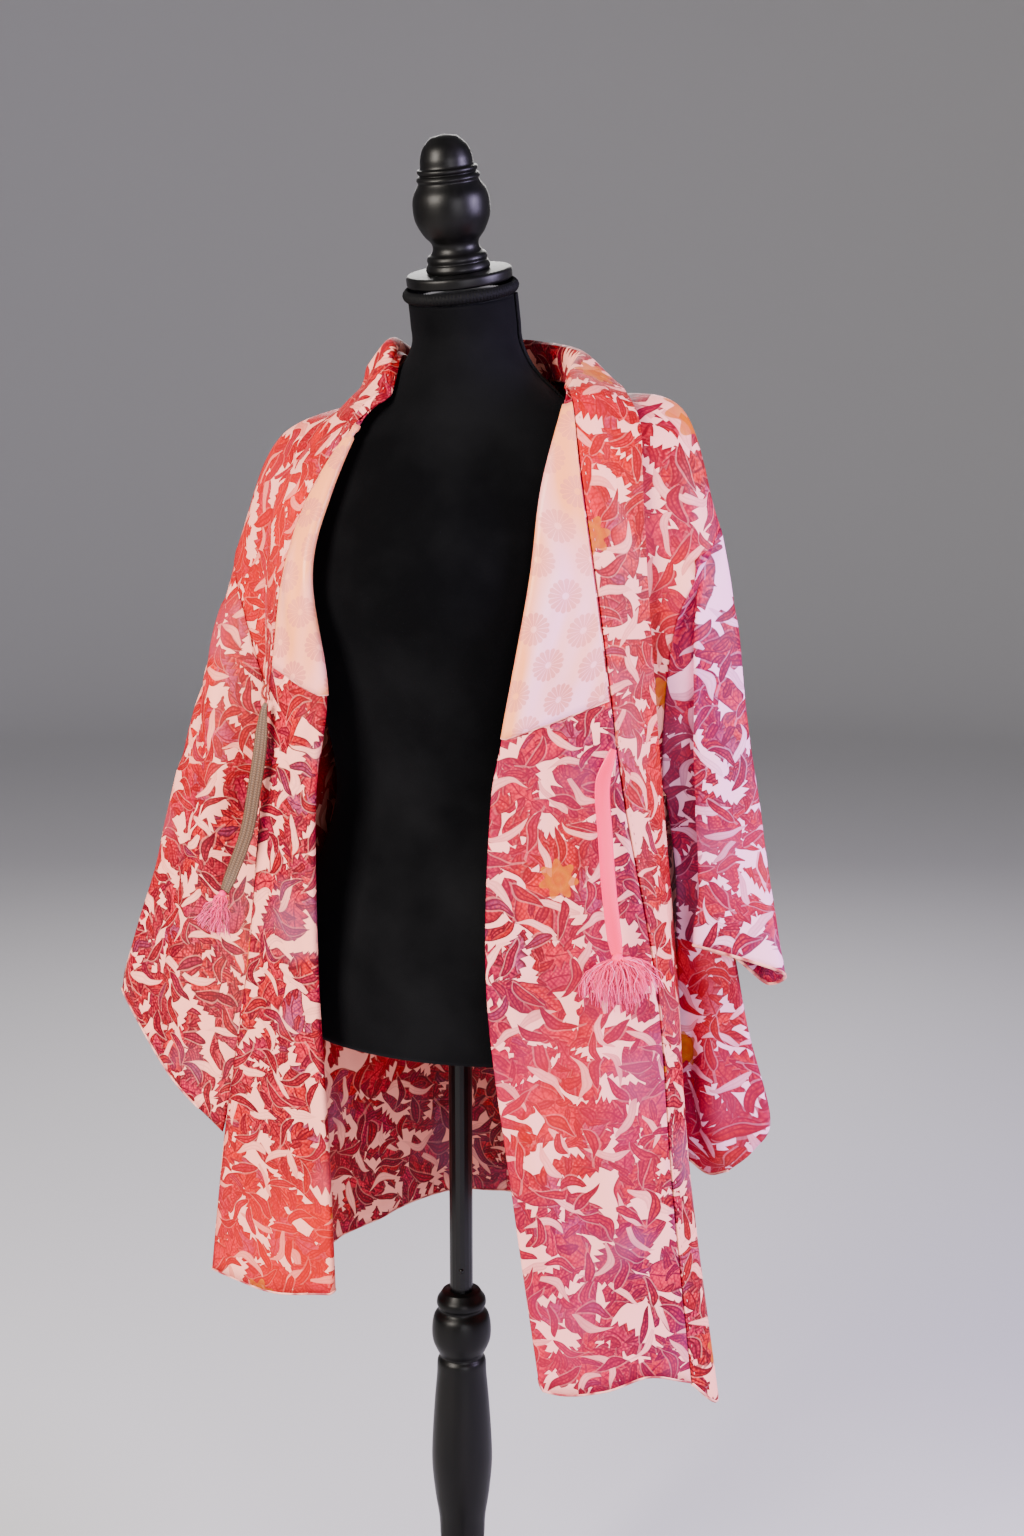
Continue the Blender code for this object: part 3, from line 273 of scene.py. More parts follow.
def link(name, mesh, material, node=None, smooth=True):
    """A mesh that is drawn round the stand's axis, as a piece that rides on the model."""
    for vertex in mesh.vertices:
        vertex.co += Vector(AXIS)
    mesh.materials.clear()
    mesh.materials.append(material)
    if smooth:
        mesh.shade_smooth()
    piece = bpy.data.objects.new(name, mesh)
    SCENE.collection.objects.link(piece)
    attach(piece, "root")
    if node:
        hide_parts(node)
    return piece


# %% [markdown]
# A finish is a small network of nodes. Written one by one they hide the idea, so a wire,
# the output of a node, takes part in ordinary sums here: each sum adds its own node.
# Colours are given as a dyer mixes them, from 0 to 255.

# %% Helpers for finishes
class Wire:
    """The output of a node; sums on it add nodes."""

    def __init__(self, socket):
        self.socket = socket
        self.tree = socket.id_data

    def __add__(self, other):
        return calc("ADD", self, other)

    def __sub__(self, other):
        return calc("SUBTRACT", self, other)

    def __rsub__(self, other):
        return calc("SUBTRACT", other, self)

    def __mul__(self, other):
        return calc("MULTIPLY", self, other)

    def __truediv__(self, other):
        return calc("DIVIDE", self, other)

    def __gt__(self, other):
        return calc("GREATER_THAN", self, other)

    __radd__ = __add__
    __rmul__ = __mul__


def join(socket, value):
    """Give an input a number, a colour or a wire."""
    if isinstance(value, Wire):
        socket.id_data.links.new(value.socket, socket)
    else:
        socket.default_value = value


def calc(operation, *values, kind="Math"):
    """One sum on numbers or, as VectorMath, on places; one of the values is a wire."""
    tree = next(value.tree for value in values if isinstance(value, Wire))
    node = tree.nodes.new("ShaderNode" + kind)
    node.operation = operation
    for socket, value in zip(node.inputs, values):
        join(socket, value)
    return Wire(node.outputs[0])


def put(tree, kind, settings=None, **values):
    """Add a node, with _ for the spaces in its inputs' names; gives its outputs by name."""
    node = tree.nodes.new("ShaderNode" + kind)
    for name, value in (settings or {}).items():
        setattr(node, name, value)
    for name, value in values.items():
        join(node.inputs[name.replace("_", " ")], value)
    return {socket.name: Wire(socket) for socket in node.outputs}


def between(value, start, end):
    """0 where value is under start, 1 where it is over end, and a slope between."""
    return put(value.tree, "MapRange", Value=value, From_Min=start, From_Max=end)["Result"]


def zigzag(value, count):
    """A value that goes up to 1 and down to 0, that many ways a metre."""
    return calc("PINGPONG", value * count, 1.0)


def clouds(place, scale, detail=2.0, dimensions="2D"):
    """Soft noise from 0 to 1."""
    settings = {"noise_dimensions": dimensions}
    return put(place.tree, "TexNoise", settings, Vector=place, Scale=scale, Detail=detail)["Fac"]


def sides_of(place):
    """The three numbers of a place."""
    return tuple(put(place.tree, "SeparateXYZ", Vector=place).values())


def layered(share, under, over):
    """One colour laid over another by a share."""
    node = share.tree.nodes.new("ShaderNodeMix")
    node.data_type = "RGBA"
    for socket, value in ((0, share), (6, under), (7, over)):
        join(node.inputs[socket], value)
    return Wire(node.outputs[2])


def dye(red, green, blue):
    """A colour given as it looks on a screen, as the light that a shader wants."""
    shares = [value / 255 for value in (red, green, blue)]
    return tuple(s / 12.92 if s <= 0.04045 else ((s + 0.055) / 1.055) ** 2.4 for s in shares) + (1.0,)


def new_finish(name, **constants):
    """A material with its shader's fixed values; gives the material, its tree and its shader."""
    material = bpy.data.materials.new(name)
    material.use_nodes = True
    shader = material.node_tree.nodes["Principled BSDF"]
    for word, value in constants.items():
        shader.inputs[word.replace("_", " ")].default_value = value
    return material, material.node_tree, shader


def dress(shader, colour, height, depth, strength, roughness=None):
    """Give a shader its colour, a bump whose height of 0 to 1 is that deep in metres, and its roughness."""
    join(shader.inputs["Base Color"], colour)
    if roughness is not None:
        join(shader.inputs["Roughness"], roughness)
    bump = put(shader.id_data, "Bump", Height=height, Strength=strength, Distance=depth)
    join(shader.inputs["Normal"], bump["Normal"])


def flat_place(tree):
    """The place on the flat cloth in metres, kept in the mesh's UV map."""
    return put(tree, "UVMap", {"uv_map": "flat"})["UV"]

# %% [markdown]
# The two ties are flat braids that knot the fronts together when the coat is worn. Each is
# plaited from silk thread, so it has fine slanting ridges along it. The left one is satin
# pink; the right one is a greyish brown with lengthwise ribs. Zigzag waves that lean across
# the braid give the plait, and its colour is painted darker in their grooves, as shade.

# %% Braid finishes
STITCHES_PER_M = 900.0


def braid(name, light, dark, roughness, slant, ribs, depth):
    """Plaited silk: slanting stitches across and ribs along, in metres of braid, with shade painted darker in
    their grooves.
    """
    material, tree, shader = new_finish(name, Roughness=roughness, Specular_IOR_Level=0.35)
    across, along, _ = sides_of(flat_place(tree))
    stitch = zigzag(along + calc("PINGPONG", across, 1.0 / ribs) * slant, STITCHES_PER_M)
    height = calc("POWER", stitch, 0.6) * calc("POWER", zigzag(across, ribs), 0.5)
    cloud = put(tree, "TexNoise", Scale=60.0)["Fac"]
    # painted shade: the colour is darker where the stitches and ribs are low
    dress(shader, layered(cloud * 0.35, layered(height, dark, light), dark), height, depth, 0.7)
    return material


PINK_BRAID = braid("pink satin braid", dye(255, 12, 104), dye(240, 6, 82), 0.34, 1.0, 160.0, 0.0001)
TAUPE_BRAID = braid("taupe braid", dye(122, 88, 64), dye(56, 36, 24), 0.48, 0.8, 700.0, 0.0003)

# %% [markdown]
# A tie starts in a loop at the band seam, curves where its own weight and twist take it
# and hangs down the front. Each is one closed tube of oval section that is swept along a
# smooth line through given points. Its width narrows where it passes the loop. The real
# tie is about as long as it shows, some 18 cm from the loop to the tassel, and it is limp.

# %% The ties
TIE_LEFT = (
    (0.1875, -0.087, 0.9625), (0.1849, -0.09, 0.952), (0.1809, -0.092, 0.938), (0.1804, -0.093, 0.922),
    (0.1835, -0.094, 0.892), (0.1875, -0.096, 0.853), (0.193, -0.0985, 0.817), (0.198, -0.101, 0.792),
)
TIE_RIGHT = (
    (-0.1195, -0.1335, 0.988), (-0.1215, -0.135, 0.978), (-0.125, -0.1365, 0.946), (-0.131, -0.138, 0.91),
    (-0.138, -0.14, 0.874), (-0.151, -0.143, 0.839), (-0.159, -0.146, 0.819),
)
#   side, route, facing, thickness, share of the width at the loop, twist, finish, slot
TIES = (
    ("left", TIE_LEFT, (0.25, -1.0, 0.0), 0.0016, 0.4, 0.25, PINK_BRAID, "pink_braid"),
    ("right", TIE_RIGHT, (-0.1, -1.0, 0.0), 0.0019, 0.3, 0.35, TAUPE_BRAID, "taupe_braid"),
)
TIE_WIDE = 0.0125
TIE_SIDES = 16
TIE_ROWS = 90
WIDE_FROM = 0.16  # share of its length where a tie has reached its full width
KNOT_FROM = 0.93  # share where it draws in again towards the tassel


def fuller(value, power):
    """A sine or cosine drawn towards its ends, for an oval with a flatter face."""
    return math.copysign(abs(value) ** power, value)


def swept_braid(name, node, slot, route, facing, thick, narrow, twist, material):
    """An oval braid along a route, narrow at its top, that turns a little as it hangs."""
    line = through(route, np.linspace(0, len(route) - 1, TIE_ROWS))
    run = run_of(line)
    angles = np.linspace(0, 2 * math.pi, TIE_SIDES + 1)
    rows, flats = [], []
    for point, direction, far in zip(line, unit(np.gradient(line, axis=0)), run):
        share = far / run[-1]
        turn = twist * math.sin(math.pi * share)
        side = unit(np.cross(direction, facing))
        face = np.cross(side, direction)
        side, face = (side * math.cos(turn) + face * math.sin(turn),
                      face * math.cos(turn) - side * math.sin(turn))
        wide = 0.5 * TIE_WIDE * (narrow + (1 - narrow) * min(1.0, share / WIDE_FROM) ** 0.7)
        wide *= 1 - 0.25 * max(0.0, (share - KNOT_FROM) / (1 - KNOT_FROM))
        rows.append([point + side * wide * fuller(math.cos(g), 0.7)
                     + face * 0.5 * thick * fuller(math.sin(g), 0.8)
                     for g in angles])
        flats.append([(wide * math.cos(g), far) for g in angles])
    rows = [[line[0]] * len(angles), *rows, [line[-1]] * len(angles)]
    flats = [flats[0], *flats, flats[-1]]
    piece = link(name, flat_mesh(name, [(rows, flats)], WELD_CLOTH), material, node)
    return piece, line + AXIS, run[-1]


ties = {side: swept_braid("tie_" + side + "_ribbon", "tie_" + side, slot, *shape)
        for side, *shape, slot in TIES}
print("ties", [round(length, 4) for _, _, length in ties.values()], "m long")

# %% [markdown]
# Each tie ends in a tassel of loose silk floss that leaves a bound knot and falls by its
# own weight. The left tassel has opened into a fan whose outer threads hang shorter; the
# right one is still a narrow bell. Every thread is a thin tube of three sides along a
# short curve, and a fixed seed gives each its own lean. A hair system would do it too, but
# real tubes export as plain meshes.

# %% The tassels
FLOSS_SIDES = 3
FLOSS_PARTS = 7
FLOSS_R = 0.00048
KNOT_TURNS = 9
KNOT_SIDES = 14


def floss_finish(name, root, tip, other):
    """Silk floss: paler at its tips, some threads of another colour, told by the UV map."""
    material, tree, shader = new_finish(name, Roughness=0.5, Specular_IOR_Level=0.3)
    shade, down, _ = sides_of(flat_place(tree))
    colour = layered(between(shade, 0.78, 0.86), layered(down, root, tip), other)
    dress(shader, colour, put(tree, "TexNoise", Scale=900.0)["Fac"], 0.0002, 0.4)
    return material


def bound_knot(head, side, front, down, size):
    """The bound knot at a tassel's head, and its flat places."""
    angles = np.linspace(0, 2 * math.pi, KNOT_SIDES + 1)
    ball = []
    for i in range(KNOT_TURNS + 1):
        tilt = math.pi * i / KNOT_TURNS
        wide = size * math.sin(tilt) * (1 + 0.1 * math.cos(3 * tilt))
        middle = head - down * size * 0.78 * math.cos(tilt)
        ball.append([middle + wide * (side * math.cos(a) + front * math.sin(a)) for a in angles])
    return ball, [[(0.2, 0.1)] * len(angles) for _ in ball]


def thread_tuft(name, node, head, down, facing, reach, spread, full, flare, count, seed, knot, material):
    """Threads from a knot. reach: the longest, spread: how wide they open sideways and forwards,
    full: how round the tuft is at its top, flare: how much shorter its outer threads fall."""
    rng = np.random.default_rng(seed)
    down = unit(down)
    side = unit(np.cross(down, facing))
    front = np.cross(side, down)
    head = np.array(head)
    t = np.linspace(0, 1, FLOSS_PARTS)[:, None]
    sheets = []
    for _ in range(count):
        around = rng.uniform(0, 2 * math.pi)
        out = math.sqrt(rng.uniform(0.02, 1.0))
        long = reach * rng.uniform(0.78, 1.0) * (1 - flare * out)
        lean = side * math.cos(around) * out * spread[0] + front * math.sin(around) * out * spread[1]
        curl = side * rng.normal(0, 0.0022) + front * rng.normal(0, 0.0015)
        fall = 1 - 0.83 * full
        line = head + lean * ((1 + full) * t - full * t ** 2) + down * long * (fall * t + (1 - fall) * t ** 2)
        line = line + curl * np.sin(2.6 * math.pi * t)
        one = unit(np.cross(unit(np.gradient(line, axis=0)), front + 0.2 * side))
        two = np.cross(unit(np.gradient(line, axis=0)), one)
        thick = FLOSS_R * (1 - 0.45 * t)
        rings = [line + thick * (one * math.cos(g) + two * math.sin(g))
                 for g in np.linspace(0, 2 * math.pi, FLOSS_SIDES + 1)]
        rows = [[head] * (FLOSS_SIDES + 1), *np.stack(rings, axis=1),
                [line[-1] + down * 0.0004] * (FLOSS_SIDES + 1)]
        shade = rng.uniform(0, 1)
        flats = [[(shade, min(1.0, i / FLOSS_PARTS))] * (FLOSS_SIDES + 1) for i in range(len(rows))]
        sheets.append((rows, flats))
    sheets.append(bound_knot(head, side, front, down, knot))
    return link(name, flat_mesh(name, sheets), material, node)


PINK_FLOSS = floss_finish("pink floss", dye(250, 12, 96), dye(255, 72, 140), dye(255, 136, 184))
FADED_FLOSS = floss_finish("faded floss", dye(250, 16, 104), dye(255, 84, 150), dye(122, 90, 78))
TASSELS = {
    "left": dict(head=(0.1985, -0.101, 0.7895), down=(0.16, 0.0, -1.0), facing=(0.47, -0.88, 0.0),
                 reach=0.054, spread=(0.036, 0.014), full=0.95, flare=0.45, count=280, seed=11,
                 knot=0.005, material=PINK_FLOSS),
    "right": dict(head=(-0.1605, -0.147, 0.817), down=(-0.36, -0.02, -1.0), facing=(0.1, -1.0, 0.0),
                  reach=0.04, spread=(0.018, 0.008), full=0.1, flare=0.08, count=170, seed=23,
                  knot=0.0036, material=FADED_FLOSS),
}
for side, shape in TASSELS.items():
    tassel = thread_tuft("tassel_" + side + "_floss", "tassel_" + side, **shape)
    print("tassel", side, len(tassel.data.polygons), "faces")

# %% [markdown]
# The silk is printed by hand with stencils: many overlapping leaves in coral, crimson and
# rose on a pale pink ground. It isn't a known design here: one leaf is described by sums,
# and layers of it are thrown over the cloth by Voronoi cells, which give each leaf its own
# place, turn, bend and colour. The flat cloth's metres drive it, so the print runs with
# the grain and keeps its size where the cloth folds.

# %% What a leaf is made of
LEAF_COLOURS = (
    (0.0, dye(192, 0, 10)), (0.22, dye(160, 0, 22)), (0.42, dye(142, 0, 32)),
    (0.6, dye(198, 2, 44)), (0.78, dye(160, 0, 54)), (0.93, dye(150, 54, 92)),
)
OUTLINE = dye(76, 0, 16)
NET_LIGHT = dye(232, 40, 66)
VEINS_PER_M = 230.0
TEETH_PER_M = 135.0
TOOTH_SLANT = 70.0  # how far the teeth lean towards the tip
VEIN_SLANT = 0.9
TIP_POWER = 0.72
TIP_TAPER = 0.34
TOOTHED_FROM = 0.25  # three leaves of four have teeth
# where each part starts and ends, in metres inwards from the leaf's edge
HALO_EDGE = (-0.0014, -0.0009)
FILL_EDGE = (-0.0001, 0.0004)
LINE_EDGE = (0.0009, 0.002)
SHADE_EDGE = (0.0085, 0.0015)
RIB_EDGE = (0.0004, 0.0009)  # outwards from the midrib
# where they start and end in waves of 0 to 1
VEIN_SHARE = (0.72, 0.9)
SPOT_SHARE = (0.18, 0.4)
NET_SHARE = (0.42, 0.66)
LEAF_INPUTS = ("Cloth", "Under", "Net", "Cells", "Half Length", "Half Width", "Teeth", "Bend", "Tone", "Room",
               "Pale", "Undyed", "Halo")


def thrown(place, scale, randomness):
    """Cells over the cloth: three chances for each, and the place counted from its point."""
    cells = put(place.tree, "TexVoronoi", {"voronoi_dimensions": "2D", "feature": "F1"},
                Vector=place, Scale=scale, Randomness=randomness)
    chances = put(place.tree, "SeparateColor", Color=cells["Color"]).values()
    return tuple(chances), calc("SUBTRACT", place, cells["Position"], kind="VectorMath")


def steps_of(value, stops):
    """A colour for each step of a value: pairs of where it starts and the colour."""
    node = value.tree.nodes.new("ShaderNodeValToRGB")
    node.color_ramp.interpolation = "CONSTANT"
    while len(node.color_ramp.elements) < len(stops):
        node.color_ramp.elements.new(0.5)
    for element, (place, colour) in zip(node.color_ramp.elements, stops):
        element.position = place
        element.color = colour
    join(node.inputs[0], value)
    return Wire(node.outputs["Color"])


# %% [markdown]
# A leaf is a bent oval that tapers to its tip, with saw teeth cut into its edge. How far a
# point lies inside that edge then decides what is printed there: a pale line where the
# paste held the dye back, the fill, a darker outline, a midrib with slanting side veins,
# and a fine net over the colour that is lighter on one half of the leaf. The layer gives
# back its colour and where it covers, so that the next layers can lie on it.

# %% One layer of leaves
def leaf_layer_group():
    """One layer of leaves: what is under it comes in, and what is under and on it goes out."""
    tree = bpy.data.node_groups.new("leaf layer", "ShaderNodeTree")
    kinds = {"Cloth": "Vector", "Under": "Color", "Pale": "Color", "Color": "Color"}
    for way, names in (("INPUT", LEAF_INPUTS), ("OUTPUT", ("Color", "Cover"))):
        for name in names:
            kind = "NodeSocket" + kinds.get(name, "Float")
            tree.interface.new_socket(name=name, in_out=way, socket_type=kind)
    given = {socket.name: Wire(socket) for socket in tree.nodes.new("NodeGroupInput").outputs}

    (turn, curve, chance), local = thrown(given["Cloth"], given["Cells"], 0.85)
    turned = put(tree, "VectorRotate", {"rotation_type": "Z_AXIS"}, Vector=local, Angle=turn * (2 * math.pi))
    along, side, _ = sides_of(turned["Vector"])
    arched = side - along * along * ((curve - 0.5) * given["Bend"])
    across = calc("ABSOLUTE", arched)
    t = along / given["Half Length"]
    half = calc("POWER", calc("MAXIMUM", 1.0 - t * t, 0.0), TIP_POWER)
    half = half * (1.0 - t * TIP_TAPER) * given["Half Width"]
    saw = calc("FRACT", along * TEETH_PER_M - across * TOOTH_SLANT)
    inside = half * (1.0 - saw * given["Teeth"] * (chance > TOOTHED_FROM)) - across

    halo = between(inside, *HALO_EDGE) * given["Room"] * given["Halo"]
    fill = between(inside, *FILL_EDGE) * given["Room"]
    edge = calc("MAXIMUM", 1.0 - between(inside, *LINE_EDGE), 1.0 - between(across, *RIB_EDGE))
    vein = between(zigzag(along - across * VEIN_SLANT, VEINS_PER_M), *VEIN_SHARE) * 0.6
    ink = calc("MAXIMUM", edge, vein) * (1.0 - given["Undyed"] * 0.8)
    spots = (1.0 - between(given["Net"], *SPOT_SHARE)) * (0.3 + (arched > 0.0) * 0.35)

    colour = steps_of(calc("FRACT", chance * 7.3 + given["Tone"]), LEAF_COLOURS)
    colour = layered(spots, colour, NET_LIGHT)
    colour = layered(between(given["Net"], *NET_SHARE) * 0.5, colour, OUTLINE)
    colour = layered(between(inside, *SHADE_EDGE) * 0.45, colour, OUTLINE)
    colour = layered(given["Undyed"], colour, given["Pale"])
    colour = layered(ink * 0.85, colour, OUTLINE)
    out = tree.nodes.new("NodeGroupOutput")
    join(out.inputs["Color"], layered(fill, layered(halo, given["Under"], given["Pale"]), colour))
    join(out.inputs["Cover"], fill)
    return tree


LEAF_LAYER = leaf_layer_group()

# %% [markdown]
# The cloth has seven such layers, large leaves and thin ones. One layer is left undyed, as
# pale twigs, and one has small leaves that show only inside the larger ones. Over them come
# broad washes that turn the reds towards mauve or coral, and a few small flowers. On the left
# front and the left sleeve, which face the lilac side light, a magenta wash and a bluer
# ground paint that light's cool cast into the colour. Each panel takes its print from another
# place of the bolt, and the weave of the silk gives the roughness and a very low bump.

# %% The printed silk
LAYER_WORDS = ("Cells", "Half Length", "Half Width", "Teeth", "Bend", "Tone", "Undyed", "Halo")
#   cells per metre, half length, half width, teeth, bend, tone, undyed, halo, shift across, shift along
LEAF_LAYERS = (
    (24.0, 0.026, 0.006, 0.0, 44.0, 0.1, 0.0, 0.3, 0.31, 0.17),
    (21.0, 0.026, 0.012, 0.42, 16.0, 0.35, 0.0, 0.1, 0.0, 0.0),
    (23.0, 0.024, 0.0115, 0.4, 24.0, 0.75, 0.0, 0.1, 2.71, 3.37),
    (22.0, 0.027, 0.013, 0.46, 18.0, 0.62, 0.0, 0.1, 1.37, 0.83),
    (60.0, 0.011, 0.004, 0.2, 70.0, 0.18, 0.0, 0.04, 3.11, 1.93),
    (25.0, 0.02, 0.0036, 0.0, 70.0, 0.8, 1.0, 0.0, 0.57, 2.11),
    (30.0, 0.016, 0.004, 0.0, 66.0, 0.5, 0.0, 0.25, 4.2, 0.6),
)
INNER_CELLS = 50.0  # a layer with more cells a metre shows only inside the leaves under it
WAVER = 0.014  # how far slow noise moves the leaves, so that their edges aren't perfect
NETS_PER_M = 340.0
# the third colour is painted light: the cool cast of the lilac side light, not a dye of the print
MAUVE, CORAL, LILAC_LIGHT_MAGENTA = dye(134, 80, 110), dye(206, 10, 0), dye(128, 16, 92)
WARP_PER_M, WEFT_PER_M = 2600.0, 2000.0
PALE_PINK = dye(255, 162, 144)
FLOWERS_PER_M = 5.4
FLOWER_R = 0.015
PETALS = 7.0


def flower_over(place, under):
    """A few small ochre flowers, far apart."""
    chances, local = thrown(place, FLOWERS_PER_M, 1.0)
    x, y, _ = sides_of(local)
    far = put(place.tree, "VectorMath", {"operation": "LENGTH"}, Vector=local)["Value"]
    petal = FLOWER_R + calc("COSINE", calc("ARCTAN2", y, x) * PETALS) * 0.003
    cover = between(petal - far, 0.0, 0.0008) * (chances[0] > 0.42)
    colour = layered(zigzag(far, 240.0) * 0.55, dye(186, 96, 0), dye(170, 48, 2))
    return layered(cover * 0.85, under, colour)


def printed_silk(name, shift, ground=PALE_PINK, warmer=0.55, painted_side_light=0.0):
    """The printed silk from a place of the bolt, in metres; its reds turn to coral, and on pieces facing the
    lilac side light a painted magenta wash stands for that light's cast.
    """
    material, tree, shader = new_finish(name, Roughness=0.5, Specular_IOR_Level=0.12)
    place = put(tree, "Mapping", Vector=flat_place(tree), Location=(*shift, 0.0))["Vector"]
    waver = put(tree, "TexNoise", {"noise_dimensions": "2D"}, Vector=place, Scale=30.0, Detail=1.0)["Color"]
    wavered = calc("MULTIPLY_ADD", waver, (WAVER, WAVER, 0.0), place, kind="VectorMath")
    net = put(tree, "TexVoronoi", {"voronoi_dimensions": "2D", "feature": "F1"},
              Vector=place, Scale=NETS_PER_M, Randomness=0.6)["Distance"]
    colour, cover = ground, None
    for values in LEAF_LAYERS:
        moved = calc("ADD", wavered, (*values[-2:], 0.0), kind="VectorMath")
        room = cover if values[0] > INNER_CELLS else 1.0
        layer = put(tree, "Group", {"node_tree": LEAF_LAYER}, **dict(zip(LAYER_WORDS, values)),
                    Cloth=moved, Under=colour, Net=net, Room=room, Pale=ground)
        colour = layer["Color"]
        cover = calc("MAXIMUM", cover, layer["Cover"]) if cover else layer["Cover"]
    wash = clouds(place, 9.0)
    colour = layered(between(wash, 0.58, 0.72) * (cover * 0.4), colour, MAUVE)
    colour = layered(between(clouds(place, 3.3, 1.0), 0.42, 0.66) * (cover * warmer), colour, CORAL)
    # painted light: a magenta wash over the leaves stands in for the cast of the lilac side light
    if painted_side_light:
        colour = layered(between(wash, 0.3, 0.6) * (cover * painted_side_light), colour, LILAC_LIGHT_MAGENTA)
    across, along, _ = sides_of(flat_place(tree))
    slub = clouds(place, 120.0, 3.0)
    thread = zigzag(across, WARP_PER_M) * zigzag(along, WEFT_PER_M)
    dress(shader, flower_over(place, colour), thread + slub, 0.00012, 0.5, 0.36 + slub * 0.22)
    return material


# the left front faces the lilac side light, and its cast is painted in: a bluer ground and a magenta wash
SILK_BODY = {
    "left": printed_silk("printed silk left front", (0.0, 0.0), dye(255, 164, 156), 0.5, 0.25),
    "right": printed_silk("printed silk right front", (5.9, 2.6)),
}
# painted light: this sleeve's lilac ground and magenta wash stand in for the lilac side light on it
SILK_SLEEVE_LEFT = printed_silk("printed silk left sleeve", (9.1, 6.4), dye(244, 170, 206), 0.45, 0.28)
SILK_SLEEVE_RIGHT = printed_silk("printed silk right sleeve", (2.6, 8.8))
SILK_BAND = printed_silk("printed silk band", (12.7, 3.9))
print("printed silk:", len(SILK_BAND.node_tree.nodes), "nodes and",
      len(LEAF_LAYER.nodes), "in each leaf layer")

# %% [markdown]
# The fronts are lined with peach figured silk. Its chrysanthemums have the colour of the
# ground and show only because their threads lie another way, so they are a shade darker
# and a little less glossy. The lilac that the satin reflects from the side light is painted
# into the colour in soft lengthwise bands. Two lattices of rounds, one half a step from the
# other, give the staggered columns.

# %% The lining
LATTICE_WIDE = 0.044
LATTICE_LONG = 0.057
LATTICE_START = 7.0  # metres off the cloth, so that no cell starts at zero
MUM_R = 0.0145
MUM_EYE = (0.0024, 0.0032)
PETAL_SPLIT = (0.1, 0.35)
# the second colour is painted light: the satin's reflection of the lilac side light
PEACH, PAINTED_LILAC_REFLECTION, FIGURE = dye(255, 150, 92), dye(250, 170, 204), dye(206, 100, 96)


def mum_share(across, along, step):
    """Sixteen petals in each cell of a lattice that is moved by a step, as a share from 0 to 1."""
    x, y = ((calc("FRACT", (value + (LATTICE_START + step * size)) / size) - 0.5) * size
            for value, size in ((across, LATTICE_WIDE), (along, LATTICE_LONG)))
    far = calc("SQRT", x * x + y * y)
    petal = calc("ABSOLUTE", calc("COSINE", calc("ARCTAN2", y, x) * 8.0))
    inside = between((0.86 + petal * 0.14) * MUM_R - far, 0.0, 0.0006)
    return inside * (between(petal, *PETAL_SPLIT) * between(far, *MUM_EYE))


def lining_silk(name, peach_to, reflection_from):
    """Peach silk with lilac bands painted in as the satin's reflection of the side light, and woven flowers
    of its own colour.
    """
    material, tree, shader = new_finish(name, Roughness=0.4, Sheen_Weight=0.15)
    place = flat_place(tree)
    across, along, _ = sides_of(place)
    flower = calc("MAXIMUM", mum_share(across, along, 0.0), mum_share(across, along, 0.5))
    drawn = put(tree, "Mapping", Vector=place, Scale=(13.0, 3.0, 1.0))["Vector"]
    # painted reflection: soft lengthwise bands of lilac stand in for the side light on the satin
    ground = layered(between(clouds(drawn, 1.0), peach_to, reflection_from), PEACH, PAINTED_LILAC_REFLECTION)
    colour = layered(flower * (0.25 + clouds(place, 9.0) * 0.75), ground, FIGURE)
    dress(shader, colour, zigzag(across, 2400.0) + flower, 0.0001, 0.5, 0.36 + flower * 0.16)
    return material


# the left lining faces the lilac side light, so more of its painted reflection shows on it
LINING_SILK = {
    "left": lining_silk("figured lining silk left", 0.44, 0.6),
    "right": lining_silk("figured lining silk right", 0.52, 0.72),
}

# %% [markdown]
# The form is covered in black velvet, the neck is trimmed with black braid, and the stand
# and finial are wood under a satin black stain. Velvet is dark straight on and greyer
# where it turns away, which is what the shader's sheen does; soft clouds change its
# roughness, and the patches of sheen of its unevenly brushed nap are painted into its
# colour as lighter clouds. The pole is black enamelled steel.

# %% Velvet, wood and steel
GRAIN = (60.0, 60.0, 7.0)  # waves a metre each way; the wood's grain runs up the piece


def velvet():
    """Black velvet whose nap's patches of sheen are painted into its colour as lighter clouds."""
    material, tree, shader = new_finish("black velvet", Sheen_Weight=0.05, Sheen_Roughness=0.4,
                                        Sheen_Tint=dye(150, 152, 168), Specular_IOR_Level=0.06)
    place = put(tree, "TexCoord")["Object"]
    # painted sheen: the lighter clouds in the colour stand in for patches of sheen on the nap
    share = between(clouds(place, 7.0, 4.0, "3D"), 0.42, 0.66)
    colour = layered(share, dye(1, 1, 2), dye(8, 8, 10))
    dress(shader, colour, clouds(place, 900.0, 2.0, "3D"), 0.0006, 0.5, 0.95 - share * 0.15)
    return material


def stained_wood():
    """Turned wood under a black satin stain."""
    material, tree, shader = new_finish("black stained wood", Specular_IOR_Level=0.16)
    place = put(tree, "Mapping", Vector=put(tree, "TexCoord")["Object"], Scale=GRAIN)["Vector"]
    grain, fine = clouds(place, 1.0, 5.0, "3D"), clouds(place, 6.0, 3.0, "3D")
    colour = layered(between(grain, 0.38, 0.68), dye(3, 3, 3), dye(9, 8, 8))
    dress(shader, colour, grain + fine * 0.4, 0.0003, 0.35, 0.31 + fine * 0.14)
    return material


def enamel():
    """Black enamel on steel with a faint orange-peel."""
    material, tree, shader = new_finish("black enamelled steel", Specular_IOR_Level=0.2, Coat_Weight=0.1,
                                        Coat_Roughness=0.12)
    place = put(tree, "TexCoord")["Object"]
    dust = clouds(place, 35.0, 4.0, "3D")
    colour = layered(dust, dye(2, 2, 3), dye(7, 7, 8))
    dress(shader, colour, clouds(place, 420.0, 2.0, "3D"), 0.0001, 0.3, 0.22 + dust * 0.2)
    return material


